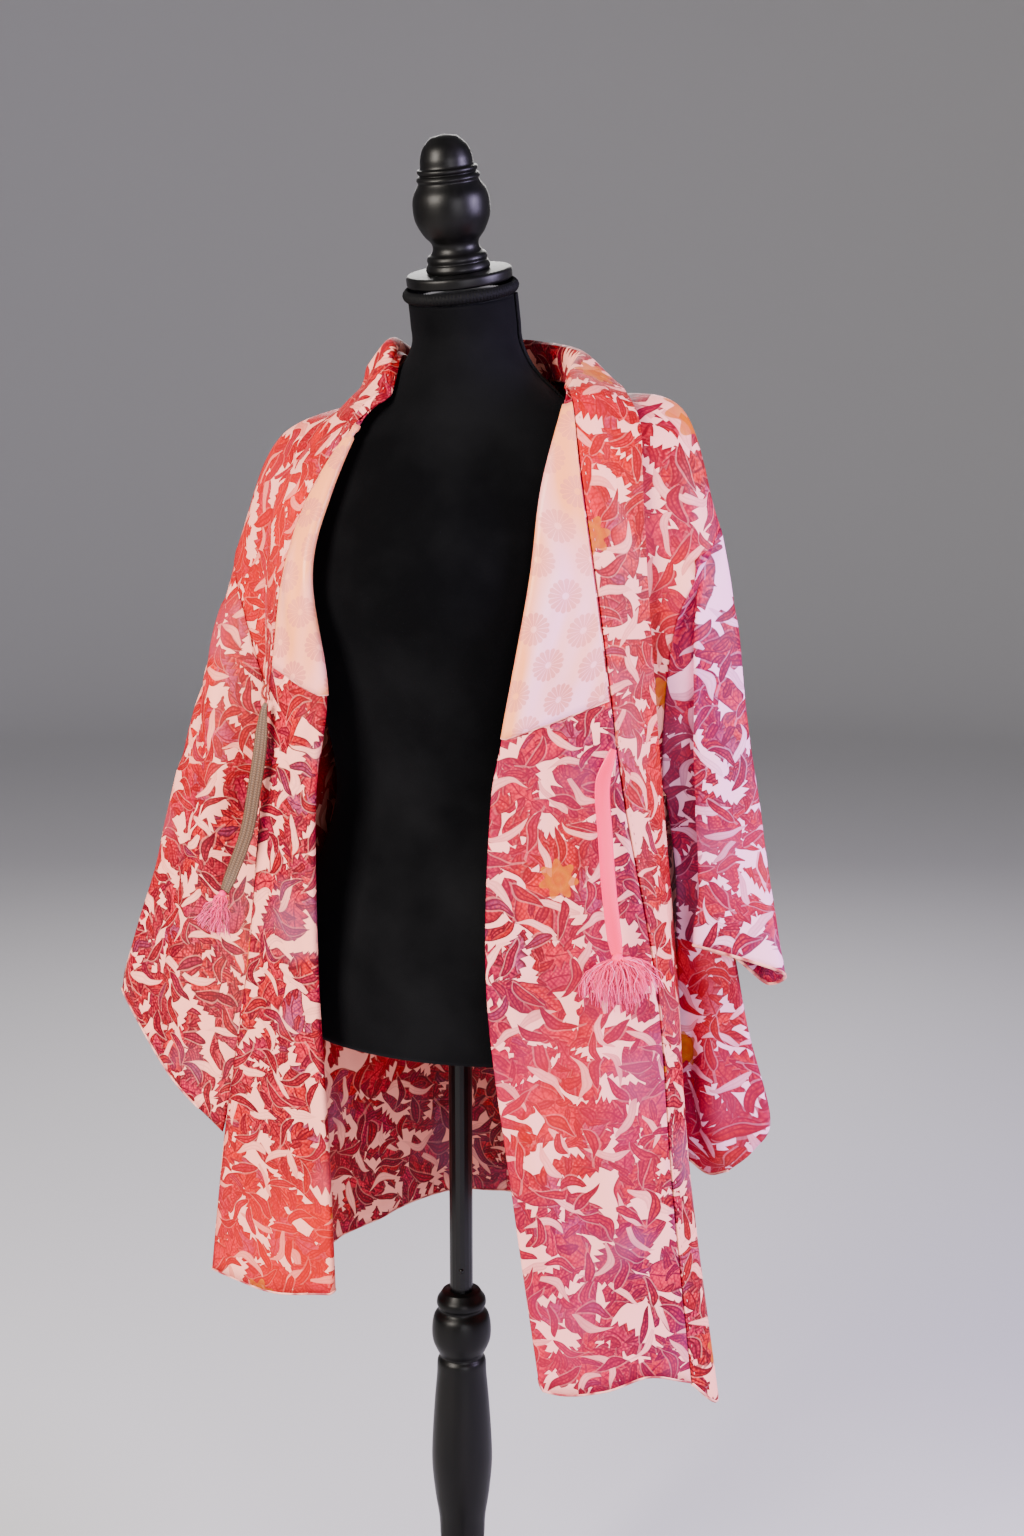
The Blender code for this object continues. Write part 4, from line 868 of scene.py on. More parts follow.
VELVET = velvet()
BLACK_WOOD = stained_wood()
BLACK_STEEL = enamel()

# %% [markdown]
# The garment is kept as sections of its cut. Each row is a named height, and each group of
# three numbers is where one line of the cut lies there: for the body from the centre back
# over the shoulder to the front hem, for the collar from the centre back to the hem, for
# the sleeves from the armhole to the bottom. Heights are above the floor, and the rest is
# measured from the axis of the stand. The wearer's left is +X and the front is -Y.

# %% Sections of the body
# One row for each section, from the back hem over the shoulder to the front hem.
# inner: centre back, then the collar seam round the neck, then the roll of the lapel
# second, third: places across the cloth;  side: side seam and armhole edge
#   name,             inner x, y, z,          second x, y, z,         third x, y, z,          side x, y, z
BODY_LEFT = (
    ("back hem", -0.03, 0.165, 0.447, 0.062, 0.158, 0.444, 0.15, 0.112, 0.438, 0.206, 0.045, 0.432),
    ("back thigh", -0.028, 0.156, 0.6, 0.06, 0.15, 0.6, 0.146, 0.106, 0.6, 0.204, 0.045, 0.6),
    ("back hip", -0.026, 0.148, 0.75, 0.058, 0.142, 0.75, 0.142, 0.101, 0.75, 0.202, 0.042, 0.75),
    ("back armhole", -0.022, 0.141, 0.91, 0.056, 0.136, 0.91, 0.139, 0.097, 0.91, 0.2, 0.036, 0.905),
    ("back rib", -0.016, 0.135, 1.03, 0.056, 0.129, 1.03, 0.137, 0.094, 1.025, 0.213, 0.041, 1.01),
    ("shoulder blade", -0.01, 0.127, 1.125, 0.056, 0.122, 1.125, 0.143, 0.087, 1.115, 0.229, 0.034, 1.08),
    ("back yoke", -0.006, 0.116, 1.205, 0.056, 0.112, 1.2, 0.148, 0.077, 1.182, 0.237, 0.027, 1.115),
    ("back neck", -0.002, 0.1, 1.266, 0.06, 0.096, 1.246, 0.162, 0.064, 1.218, 0.2395, 0.022, 1.133),
    ("neck corner", 0.046, 0.087, 1.266, 0.092, 0.076, 1.254, 0.174, 0.048, 1.236, 0.24, 0.019, 1.139),
    ("shoulder", 0.085, 0.047, 1.262, 0.13, 0.043, 1.252, 0.2, 0.029, 1.238, 0.24, 0.016, 1.139),
    ("collarbone", 0.104, 0.0, 1.256, 0.146, 0.006, 1.243, 0.206, 0.011, 1.22, 0.2395, 0.008, 1.131),
    ("apex", 0.125, -0.048, 1.245, 0.16, -0.029, 1.222, 0.21, -0.013, 1.184, 0.237, -0.003, 1.116),
    ("chest", 0.121, -0.083, 1.175, 0.158, -0.056, 1.166, 0.198, -0.024, 1.142, 0.228, -0.016, 1.092),
    ("bust", 0.117, -0.099, 1.094, 0.15, -0.07, 1.092, 0.184, -0.034, 1.08, 0.213, -0.018, 1.052),
    ("lining end", 0.096, -0.108, 0.968, 0.138, -0.08, 0.975, 0.172, -0.04, 0.98, 0.201, -0.008, 0.975),
    ("waist", 0.088, -0.115, 0.903, 0.136, -0.085, 0.905, 0.17, -0.042, 0.908, 0.197, 0.002, 0.908),
    ("hip", 0.092, -0.13, 0.75, 0.142, -0.097, 0.75, 0.178, -0.052, 0.75, 0.2, -0.008, 0.75),
    ("thigh", 0.12, -0.14, 0.583, 0.165, -0.11, 0.583, 0.194, -0.068, 0.583, 0.208, -0.021, 0.59),
    ("front hem", 0.149, -0.148, 0.424, 0.183, -0.122, 0.425, 0.205, -0.08, 0.428, 0.213, -0.032, 0.43),
)
BODY_RIGHT = (
    ("back hem", -0.03, 0.165, 0.447, -0.084, 0.138, 0.447, -0.128, 0.076, 0.436, -0.158, -0.006, 0.422),
    ("back thigh", -0.028, 0.156, 0.6, -0.085, 0.135, 0.6, -0.132, 0.082, 0.598, -0.16, 0.004, 0.598),
    ("back hip", -0.026, 0.148, 0.75, -0.086, 0.131, 0.75, -0.136, 0.085, 0.75, -0.163, 0.011, 0.75),
    ("back armhole", -0.022, 0.141, 0.91, -0.086, 0.125, 0.91, -0.141, 0.08, 0.908, -0.17, 0.012, 0.9),
    ("back rib", -0.016, 0.135, 1.03, -0.085, 0.119, 1.03, -0.15, 0.075, 1.02, -0.204, 0.038, 0.998),
    ("shoulder blade", -0.01, 0.127, 1.125, -0.08, 0.11, 1.125, -0.155, 0.066, 1.108, -0.22, 0.025, 1.062),
    ("back yoke", -0.006, 0.116, 1.205, -0.076, 0.099, 1.2, -0.153, 0.053, 1.17, -0.227, 0.013, 1.094),
    ("back neck", -0.002, 0.1, 1.266, -0.06, 0.09, 1.248, -0.15, 0.04, 1.2, -0.2295, 0.005, 1.108),
    ("neck corner", -0.048, 0.078, 1.27, -0.09, 0.06, 1.255, -0.169, 0.019, 1.214, -0.23, 0.001, 1.113),
    ("shoulder", -0.06, 0.021, 1.27, -0.105, 0.017, 1.246, -0.181, 0.001, 1.215, -0.23, -0.003, 1.113),
    ("collarbone", -0.041, -0.046, 1.252, -0.098, -0.027, 1.235, -0.18, -0.016, 1.202,
     -0.2295, -0.008, 1.106),
    ("apex", -0.059, -0.067, 1.228, -0.108, -0.052, 1.212, -0.176, -0.035, 1.175, -0.226, -0.016, 1.092),
    ("chest", -0.068, -0.11, 1.168, -0.108, -0.084, 1.158, -0.157, -0.05, 1.136, -0.213, -0.028, 1.068),
    ("bust", -0.072, -0.138, 1.1, -0.106, -0.098, 1.096, -0.144, -0.058, 1.08, -0.193, -0.036, 1.02),
    ("lining end", -0.062, -0.13, 0.998, -0.1, -0.102, 0.995, -0.132, -0.07, 0.985, -0.172, -0.034, 0.95),
    ("waist", -0.073, -0.133, 0.905, -0.108, -0.107, 0.903, -0.136, -0.074, 0.9, -0.16, -0.034, 0.9),
    ("hip", -0.07, -0.138, 0.75, -0.108, -0.115, 0.75, -0.138, -0.083, 0.75, -0.152, -0.042, 0.75),
    ("thigh", -0.062, -0.138, 0.6, -0.108, -0.12, 0.6, -0.143, -0.092, 0.598, -0.155, -0.052, 0.598),
    ("front hem", -0.056, -0.141, 0.46, -0.108, -0.125, 0.443, -0.15, -0.102, 0.435, -0.163, -0.062, 0.426),
)
BODY = {"left": BODY_LEFT, "right": BODY_RIGHT}
# how far the hem of each lapel hangs above or below its line, at five even places across it
HEM_WAVE = {"left": (0.0, -0.012, -0.007, 0.007, 0.0), "right": (0.0, -0.004, -0.008, -0.004, 0.0)}
APEX = 11  # the section where the roll of the lapel crosses the collar seam
NECK = 7  # the section where the centre-back seam meets the collar
ARMHOLE_BACK = 3  # the sections at the lower ends of the armhole
ARMHOLE_FRONT = 15
LINING_END = 14

# %% [markdown]
# The collar band is one strip, as long as both fronts and the neck together, and folded
# double along its length. Three lines place it: the edge that is sewn to the body, its
# middle, and its free edge. Both halves start from the same place at the back of the
# neck, so that they join into one strip there. Lines of a few points were chosen over a
# drawn mesh, because one number moves the whole strip near it and it stays smooth.

# %% Sections of the collar band
# From the centre back to the hem of one front. seam: the edge sewn to the body,
# middle: the fold where the band stands round the neck, edge: its free edge
#   name,             seam x, y, z,           middle x, y, z,         edge x, y, z
COLLAR_LEFT = (
    ("back neck", -0.002, 0.1, 1.266, -0.002, 0.089, 1.302, -0.002, 0.122, 1.276),
    ("neck corner", 0.046, 0.087, 1.266, 0.05, 0.078, 1.298, 0.068, 0.107, 1.272),
    ("shoulder", 0.085, 0.047, 1.262, 0.099, 0.046, 1.288, 0.128, 0.052, 1.261),
    ("collarbone", 0.104, 0.0, 1.256, 0.112, 0.005, 1.272, 0.151, 0.02, 1.253),
    ("apex", 0.13, -0.046, 1.247, 0.148, -0.033, 1.246, 0.172, -0.006, 1.229),
    ("chest", 0.149, -0.068, 1.18, 0.17, -0.052, 1.175, 0.184, -0.026, 1.165),
    ("bust", 0.168, -0.081, 1.097, 0.185, -0.06, 1.094, 0.196, -0.036, 1.088),
    ("lining end", 0.181, -0.079, 1.002, 0.193, -0.058, 1.0, 0.201, -0.03, 1.0),
    ("waist", 0.191, -0.072, 0.915, 0.203, -0.052, 0.912, 0.206, -0.022, 0.91),
    ("hip", 0.219, -0.063, 0.752, 0.224, -0.037, 0.75, 0.218, -0.012, 0.75),
    ("thigh", 0.239, -0.073, 0.585, 0.244, -0.046, 0.583, 0.234, -0.022, 0.583),
    ("front hem", 0.262, -0.08, 0.414, 0.279, -0.062, 0.392, 0.266, -0.036, 0.405),
)
COLLAR_RIGHT = (
    ("back neck", -0.002, 0.1, 1.266, -0.002, 0.089, 1.302, -0.002, 0.122, 1.276),
    ("neck corner", -0.047, 0.078, 1.264, -0.05, 0.067, 1.292, -0.073, 0.092, 1.27),
    ("shoulder", -0.058, 0.021, 1.268, -0.072, 0.023, 1.286, -0.1, 0.033, 1.262),
    ("collarbone", -0.041, -0.046, 1.25, -0.06, -0.033, 1.262, -0.089, -0.014, 1.246),
    ("apex", -0.061, -0.0665, 1.23, -0.077, -0.06, 1.234, -0.107, -0.042, 1.222),
    ("chest", -0.087, -0.102, 1.172, -0.11, -0.094, 1.174, -0.136, -0.078, 1.168),
    ("bust", -0.104, -0.123, 1.104, -0.126, -0.106, 1.104, -0.147, -0.083, 1.1),
    ("lining end", -0.118, -0.124, 1.02, -0.137, -0.102, 1.02, -0.153, -0.078, 1.016),
    ("waist", -0.131, -0.125, 0.907, -0.147, -0.099, 0.905, -0.157, -0.073, 0.902),
    ("hip", -0.146, -0.131, 0.75, -0.158, -0.103, 0.75, -0.163, -0.074, 0.75),
    ("thigh", -0.17, -0.136, 0.6, -0.18, -0.107, 0.598, -0.181, -0.077, 0.598),
    ("front hem", -0.193, -0.132, 0.451, -0.201, -0.102, 0.446, -0.199, -0.072, 0.444),
)
COLLAR = {"left": COLLAR_LEFT, "right": COLLAR_RIGHT}

# %% [markdown]
# A sleeve is a bag folded from one length of cloth. A section through it is a line that
# runs out along the front layer, turns at the fold and comes back along the back layer.
# The left sleeve hangs in a pleat and so has more lines than the right one. It could be
# modelled as two layers and sewn, but a single line round both can't gape at its fold.

# %% Sections of the sleeves
# Rows go down from the top of the armhole. free: the inner edge of the front layer,
# tuck: the inner fold of the pleat, pleat: its outer fold, fold: the top fold of the
# sleeve, outer: where the back layer meets the sewn outer seam, back: its inner edge
# round: where the sleeve is widest from front to back
#   name,        free x, y, z,         tuck x, y, z,         pleat x, y, z,           fold x, y, z,
#                round x, y, z,        outer x, y, z,        back x, y, z
SLEEVE_LEFT = (
    ("head", 0.2365, -0.005, 1.112, 0.231, -0.016, 1.118, 0.2355, 0.008, 1.129, 0.24, 0.016, 1.139,
                 0.2398, 0.0215, 1.1345, 0.2385, 0.024, 1.126, 0.2365, 0.028, 1.108),
    ("upper", 0.2155, -0.0185, 1.055, 0.229, -0.003, 1.055, 0.2335, -0.016, 1.06, 0.2545, 0.019, 1.062,
                 0.252, 0.031, 1.06, 0.247, 0.04, 1.058, 0.222, 0.0385, 1.048),
    ("elbow", 0.2035, -0.009, 0.978, 0.231, 0.004, 0.978, 0.2345, -0.0135, 0.98, 0.262, 0.02, 0.98,
                 0.2585, 0.036, 0.979, 0.251, 0.048, 0.978, 0.2115, 0.042, 0.975),
    ("armhole", 0.2005, 0.002, 0.914, 0.235, 0.01, 0.908, 0.2365, -0.0125, 0.908, 0.2745, 0.019, 0.908,
                 0.268, 0.035, 0.908, 0.257, 0.046, 0.908, 0.2045, 0.037, 0.912),
    ("wrist", 0.2105, 0.001, 0.845, 0.243, 0.009, 0.845, 0.2395, -0.013, 0.848, 0.285, 0.016, 0.848,
                 0.278, 0.031, 0.843, 0.263, 0.034, 0.845, 0.2105, 0.041, 0.845),
    ("cuff", 0.2125, 0.0, 0.785, 0.264, 0.002, 0.772, 0.2365, -0.02, 0.785, 0.308, 0.0, 0.765,
                 0.287, 0.03, 0.744, 0.2645, 0.0065, 0.771, 0.213, 0.044, 0.785),
)
# Below the cuff only the pouch goes on. free: inner edge of its front layer,
# belly: middle of the front, outer: the sewn outer seam, swell: middle of the back
#   name, free x, y, z, belly x, y, z, outer x, y, z,
#         swell x, y, z, back x, y, z
POUCH_LEFT = (
    ("cuff", 0.2125, 0.0, 0.785, 0.238, -0.002, 0.779, 0.264, 0.002, 0.772,
     0.24, 0.034, 0.78, 0.213, 0.044, 0.785),
    ("pouch", 0.214, 0.001, 0.705, 0.246, -0.004, 0.705, 0.2775, 0.005, 0.705,
     0.25, 0.037, 0.705, 0.214, 0.042, 0.705),
    ("corner", 0.215, 0.003, 0.64, 0.252, -0.003, 0.635, 0.2955, 0.016, 0.625,
     0.256, 0.034, 0.635, 0.215, 0.036, 0.64),
    ("turn", 0.219, 0.006, 0.6, 0.25, 0.003, 0.594, 0.282, 0.015, 0.594,
     0.252, 0.027, 0.594, 0.219, 0.026, 0.6),
    ("bottom", 0.223, 0.015, 0.576, 0.241, 0.015, 0.566, 0.26, 0.015, 0.572,
     0.241, 0.015, 0.566, 0.223, 0.015, 0.576),
)
# The right sleeve has no pleat; its lower edge slants, and only its inner corner is sewn.
#   name, free x, y, z, broad x, y, z, fold x, y, z,
#         swell x, y, z, back x, y, z
SLEEVE_RIGHT = (
    ("head", -0.226, -0.0155, 1.09, -0.229, -0.009, 1.1, -0.23, -0.001, 1.112,
     -0.229, 0.007, 1.102, -0.226, 0.013, 1.09),
    ("upper", -0.212, -0.03, 1.05, -0.228, -0.029, 1.05, -0.244, -0.004, 1.052,
     -0.24, 0.021, 1.05, -0.218, 0.029, 1.045),
    ("elbow", -0.185, -0.036, 0.975, -0.231, -0.045, 0.975, -0.268, -0.015, 0.976,
     -0.247, 0.03, 0.975, -0.196, 0.033, 0.97),
    ("armhole", -0.168, -0.034, 0.908, -0.236, -0.058, 0.905, -0.286, -0.022, 0.905,
     -0.252, 0.025, 0.905, -0.176, 0.012, 0.908),
    ("wrist", -0.176, -0.056, 0.8, -0.246, -0.071, 0.8, -0.306, -0.038, 0.8,
     -0.262, 0.004, 0.8, -0.185, 0.012, 0.8),
    ("cuff", -0.179, -0.083, 0.7, -0.254, -0.087, 0.715, -0.33, -0.055, 0.716,
     -0.272, -0.035, 0.71, -0.193, -0.03, 0.705),
    ("edge", -0.189, -0.115, 0.58, -0.258, -0.099, 0.62, -0.339, -0.06, 0.684,
     -0.268, -0.074, 0.622, -0.199, -0.096, 0.58),
)
OUTER_TURN = 0.0035  # depth of the rounded outer seam of the pouch
ARMHOLE_ROW = 3  # the sleeves' section at the lower end of the armhole

# %% [markdown]
# The form's rings are needed first, because cloth can't pass through it. Any point of
# cloth that would lie inside the velvet is moved straight out until it clears it, and
# over the shoulders it is lifted instead, as real cloth would rest there.

# %% Sections of the form and what clears it
#   name,            z,     half width, front depth, back depth, centre y, forward tilt
TORSO = (
    ("hem", 0.677, 0.161, 0.116, 0.11, 0.0, 0.0),
    ("hem turn", 0.687, 0.165, 0.12, 0.114, 0.0, 0.0),
    ("seat", 0.73, 0.167, 0.121, 0.116, 0.0, 0.0),
    ("hip", 0.79, 0.152, 0.112, 0.106, 0.0, 0.0),
    ("waist", 0.89, 0.118, 0.09, 0.086, 0.0, 0.0),
    ("rib", 0.97, 0.128, 0.1, 0.092, 0.0, 0.0),
    ("under bust", 1.03, 0.141, 0.116, 0.098, 0.0, 0.0),
    ("bust", 1.08, 0.15, 0.133, 0.101, 0.0, 0.0),
    ("chest", 1.13, 0.162, 0.121, 0.102, 0.001, 0.0),
    ("arm top", 1.165, 0.168, 0.104, 0.098, 0.003, 0.0),
    ("shoulder tip", 1.19, 0.163, 0.092, 0.09, 0.006, 0.0),
    ("shoulder", 1.212, 0.142, 0.081, 0.079, 0.009, 0.0),
    ("collarbone", 1.232, 0.114, 0.071, 0.069, 0.012, 0.0),
    ("neck slope", 1.252, 0.086, 0.062, 0.06, 0.015, 0.0),
    ("neck base", 1.274, 0.061, 0.054, 0.052, 0.018, 0.0),
    ("neck foot", 1.296, 0.0485, 0.048, 0.048, 0.0185, 3.0),
    ("neck", 1.315, 0.0475, 0.047, 0.047, 0.015, 7.0),
    ("neck top", 1.3354, 0.047, 0.047, 0.047, 0.0105, 14.0),
)
FORM_CLEAR = 0.0045
FORM_NEAR = 0.04
CHEST_Z = 1.0
SHOULDER_Z = 1.18
FORM_NUMBERS = np.array([row[1:] for row in TORSO])
FORM_Z = FORM_NUMBERS[:, 0]


def ring_at(z):
    """Half width, front depth, back depth and centre of the form at a height."""
    return [float(np.interp(z, FORM_Z, FORM_NUMBERS[:, k])) for k in range(1, 5)]


def clear_of_form(point):
    """Move a point of cloth outwards until it clears the form."""
    x, y, z = point
    if z < FORM_Z[0] - FORM_NEAR:
        return np.array(point, float)
    for _ in range(3):
        around = (z - FORM_NEAR, z, z + FORM_NEAR) if z < CHEST_Z else (z,)
        width, front, back, centre = np.max([ring_at(height) for height in around], axis=0)
        depth = (front if y < centre else back) + FORM_CLEAR
        reach = math.hypot(x / (width + FORM_CLEAR), (y - centre) / depth)
        if reach >= 1.0 or z > FORM_Z[-1]:
            break
        if z > SHOULDER_Z:
            z += 0.5 * FORM_CLEAR + 0.05 * (1 - reach)
        else:
            x = x / reach
            y = centre + (y - centre) / reach
    return np.array([x, y, z])


# %% [markdown]
# Each half of the body is one long panel from the back hem over the shoulder to the front
# hem. In front its inner edge is turned out over a soft roll, which makes the lapel. A
# grid of points is drawn through the sections, with many rows, and the lapel is a second
# grid that shares the roll with it. The length along the rows and columns gives every
# point its place on the flat cloth, so the print isn't stretched.

# %% Rows of a body panel
CLOTH = 0.0016
ROLL = 0.0036
STEPS = 14
PANEL_COLUMNS = 44
LAPEL_COLUMNS = 20
ROLL_COLUMNS = 4
SHOULDER_PLACE = 9
OUT = {"left": 1, "right": -1}  # the way from the middle to each side


def flat_unit(vector):
    """The horizontal part of a vector, one long."""
    return unit(np.array([vector[0], vector[1], 0.0]))


def inner_at(body, place):
    """The inner edge of a panel: up the centre back, then, from a corner, round the neck."""
    line = key_line(body, 1)
    if place <= NECK:
        return through(line[:NECK + 1], [place])[0]
    return through(line[NECK:], [place - NECK])[0]


def lapel_roll(a, b, s):
    """Where the cloth turns back at a: its points under and over the roll, and the way out."""
    radius = min(ROLL, 0.25 * np.linalg.norm(s - a))
    inward = flat_unit(0.5 * (s + b) - a)
    outward = np.array([inward[1], -inward[0], 0.0])
    if np.dot(outward, s - b) < 0:
        outward = -outward
    turns = [math.radians(90.0 * k / ROLL_COLUMNS) for k in range(1, ROLL_COLUMNS + 1)]
    under, over = ([a + radius * inward - radius * (math.cos(g) * inward + way * math.sin(g) * outward)
                    for g in turns] for way in (1, -1))
    return under, over, outward


def body_grids(side):
    """The panel as two grids that share the roll line: the cloth itself and its lapel."""
    body = BODY[side]
    second, third, outer = (key_line(body, first) for first in (4, 7, 10))
    seam = key_line(COLLAR[side], 1)
    wave = np.array(HEM_WAVE[side])[:, None]
    panel, lapel = [], []
    for i in range((len(body) - 1) * STEPS + 1):
        place = i / STEPS
        a = inner_at(body, place)
        b, c, d = (through(line, [place])[0] for line in (second, third, outer))
        if place >= APEX:
            s = through(seam, [place - NECK])[0]
            under, over, outward = lapel_roll(a, b, s)
            bulge = 0.5 * (over[-1] + s) + 0.05 * np.linalg.norm(s - a) * outward
            row = [a, *over, *evenly([over[-1], bulge, s], LAPEL_COLUMNS)[1:]]
            low = max(0.0, place - (len(body) - 2)) ** 2
            for point, at in zip(row, np.linspace(0, len(wave) - 1, len(row))):
                point[2] += low * through(wave, [at])[0][0]
            lapel.append(row)
        else:
            along = evenly([a, b, c, d], 60)
            under = [along[0] + (along[1] - along[0]) * 1.2 * k / ROLL_COLUMNS
                     for k in range(1, ROLL_COLUMNS + 1)]
        row = [a, *under, *evenly([under[-1], b, c, d], PANEL_COLUMNS)[1:]]
        panel.append([clear_of_form(point) for point in row])
    return np.array(panel), np.array(lapel)


# %% [markdown]
# Cloth is measured along its grid: the length across a row and the length down a column
# together are a point's place on the flat piece. The same lengths tell how far a point is
# from a sewn edge, where it has to stay still.

# %% Measures on a grid of cloth
def run_across(grid, from_end=False):
    """Length along each row, from its first point or from its last."""
    parts = np.linalg.norm(np.diff(grid, axis=1), axis=2)
    run = np.concatenate([np.zeros((len(grid), 1)), np.cumsum(parts, axis=1)], axis=1)
    return run[:, -1:] - run if from_end else run


def run_along(grid, start=0):
    """Length down each column, from the row at start."""
    parts = np.linalg.norm(np.diff(grid, axis=0), axis=2)
    run = np.concatenate([np.zeros((1, grid.shape[1])), np.cumsum(parts, axis=0)], axis=0)
    return run - run[start]


def flat_of(grid, start=0, top=0.0):
    """The flat place of each point, across and, with down below zero, along."""
    return np.stack([run_across(grid), top - run_along(grid, start)], axis=2)


def rows_and_share(grid):
    """Each row's place in the table of sections, and each point's share of its row."""
    across = run_across(grid)
    return np.arange(len(grid))[:, None] / STEPS, across / across[:, -1:]


def normals_of(grid, outward):
    """Normals of a grid, on the side that looks along the given direction or directions."""
    along, across = np.gradient(grid, axis=0), np.gradient(grid, axis=1)
    normal = unit(np.cross(along, across))
    return normal * np.where(np.sum(normal * outward, axis=2, keepdims=True) < 0, -1.0, 1.0)


def away_from_axis(grid):
    """The direction from the middle of the form to each point."""
    out = grid - np.array([0.0, 0.01, 0.0])
    out[..., 2] = 0.25 * np.linalg.norm(out[..., :2], axis=-1)
    return out


def ease(value, start, end):
    """A soft step from 0 at start to 1 at end."""
    t = np.clip((np.asarray(value, float) - start) / (end - start), 0.0, 1.0)
    return t * t * (3 - 2 * t)


def ends_still(share, width):
    """0 at both ends of a row and 1 between them."""
    return ease(share, 0.0, width) * ease(1 - share, 0.0, width)


# %% [markdown]
# Hanging silk falls in long soft folds that start where it is held and open towards the
# hem, and it buckles where it is turned. Each fold is given on the flat cloth as a line
# with a width and a height, in metres, and a little slow noise keeps the rest from being
# dead smooth. The cloth is moved along its own normal, and nothing moves at the sewn
# edges, so the panels stay joined. Simulated cloth would fall off its fitted outline
# here, while this keeps every edge on the cut.

# %% Folds in the cloth
def fold_height(flat, folds):
    """The height of all folds at each place of the flat cloth."""
    total = np.zeros(flat.shape[:2])
    for x0, y0, x1, y1, width, height in folds:
        start, line = np.array([x0, y0]), np.array([x1 - x0, y1 - y0])
        t = np.clip(((flat - start) @ line) / (line @ line), 0.0, 1.0)
        far = np.linalg.norm(flat - start - t[..., None] * line, axis=2)
        total += height * np.exp(-(far / (width * (0.75 + 0.25 * t))) ** 2)
    return total


def slow_noise(flat, across, along, seed):
    """Soft unevenness of -1 to 1, with so many waves a metre each way."""
    rows = [[noise.noise(Vector((x * across, y * along, seed))) for x, y in row] for row in flat]
    return np.array(rows) * 1.6


def fall(grid, flat, outward, folds, held, seed, lively=0.0022):
    """Move a grid by its folds and by noise; held is 0 at sewn edges and 1 where it is free."""
    height = fold_height(flat, folds) + lively * slow_noise(flat, 9.0, 2.6, seed)
    height = height + 0.0007 * slow_noise(flat, 30.0, 16.0, seed + 7.3)
    return grid + normals_of(grid, outward) * (height * held)[..., None]


# %% [markdown]
# The lengths along a grid only nearly flatten it where the cloth curves two ways. Each
# sheet is therefore flattened once more by its angles, and the result is turned and scaled
# to the first flat places, so the print's place and size stay and its stretch goes. A wall
# then gives the sheet its thickness.

# %% Sheets of silk
WALL = 0.001


def even_print(piece):
    """Flatten a sheet again by its angles, and turn and scale that to the first flat places."""
    def flat_places():
        uvs = piece.data.uv_layers["flat"].data
        places = np.zeros(2 * len(uvs))
        uvs.foreach_get("uv", places)
        return places.reshape(-1, 2)

    first = flat_places()
    bpy.ops.object.select_all(action="DESELECT")
    piece.select_set(True)
    bpy.context.view_layer.objects.active = piece
    bpy.ops.object.mode_set(mode="EDIT")
    bpy.ops.mesh.select_all(action="SELECT")
    bpy.ops.uv.unwrap(method="ANGLE_BASED", margin=0.0)
    bpy.ops.object.mode_set(mode="OBJECT")
    second = flat_places()
    a, b = first - first.mean(axis=0), second - second.mean(axis=0)
    left, _, right = np.linalg.svd(b.T @ a)
    faces = piece.data.polygons
    starts = np.array([face.loop_start for face in faces if face.loop_total == 4])
    corners = [b[starts + k] for k in range(4)]
    one, two = corners[2] - corners[0], corners[3] - corners[1]
    flat_area = 0.5 * np.abs(one[:, 0] * two[:, 1] - one[:, 1] * two[:, 0]).sum()
    placed = b @ (left @ right) * math.sqrt(sum(face.area for face in faces) / flat_area) + first.mean(axis=0)
    piece.data.uv_layers["flat"].data.foreach_set("uv", placed.ravel())
    stretch = []
    for face in faces:
        one, two = (piece.data.vertices[v].co for v in face.vertices[:2])
        flat = np.linalg.norm(placed[face.loop_start] - placed[face.loop_start + 1])
        stretch.append(flat / max((one - two).length, 1e-9))
    print("print stretch", piece.name, np.percentile(stretch, (2, 25, 50, 75, 98)).round(2))


def silk_sheet(node, grids, material, wall=WALL):
    """A cloth piece in place of its solid, from pairs of a grid and its flat places."""
    is_lining = node.startswith("lining")
    name = node + "_silk"
    piece = link(name, flat_mesh(name, grids, WELD_CLOTH), material, node)
    if not is_lining:
        even_print(piece)
    solid = piece.modifiers.new("wall", "SOLIDIFY")
    solid.thickness = wall
    solid.offset = 0.0
    solid.use_even_offset = False
    area = sum(face.area for face in piece.data.polygons)
    print(name, len(piece.data.polygons), "faces,", round(area, 4), "square metres")
    return piece


# %% [markdown]
# The folds of the body hang from the shoulder and from the band. On the left front the
# cloth opens below the waist; the right front is narrower and swings forward at the hem;
# the back has a few long shallow folds that run to the hem. Each side's folds are listed
# in the cloth's own metres: across from the side seam, and down from the shoulder, with
# the back above zero and the front below it.

# %% The body
#   from across, along, to across, along, width, height
FOLDS = {
    "left": (
        (0.03, 0.55, 0.045, 0.86, 0.016, 0.004), (0.075, 0.4, 0.085, 0.88, 0.02, -0.0035),
        (0.12, 0.3, 0.135, 0.88, 0.022, 0.003),
        (0.06, -0.3, 0.07, -0.84, 0.02, 0.006), (0.11, -0.45, 0.125, -0.86, 0.022, -0.0045),
        (0.17, -0.4, 0.19, -0.86, 0.024, 0.006), (0.23, -0.5, 0.245, -0.88, 0.018, -0.004),
        (0.06, -0.08, 0.1, -0.26, 0.018, 0.003), (0.13, -0.1, 0.12, -0.32, 0.022, -0.002),
    ),
    "right": (
        (0.03, 0.5, 0.04, 0.84, 0.016, 0.0035), (0.08, 0.45, 0.085, 0.86, 0.018, -0.003),
        (0.045, -0.3, 0.06, -0.8, 0.022, 0.005), (0.11, -0.38, 0.12, -0.84, 0.024, -0.0045),
        (0.16, -0.3, 0.165, -0.84, 0.02, 0.005), (0.07, -0.1, 0.095, -0.28, 0.02, 0.003),
    ),
}
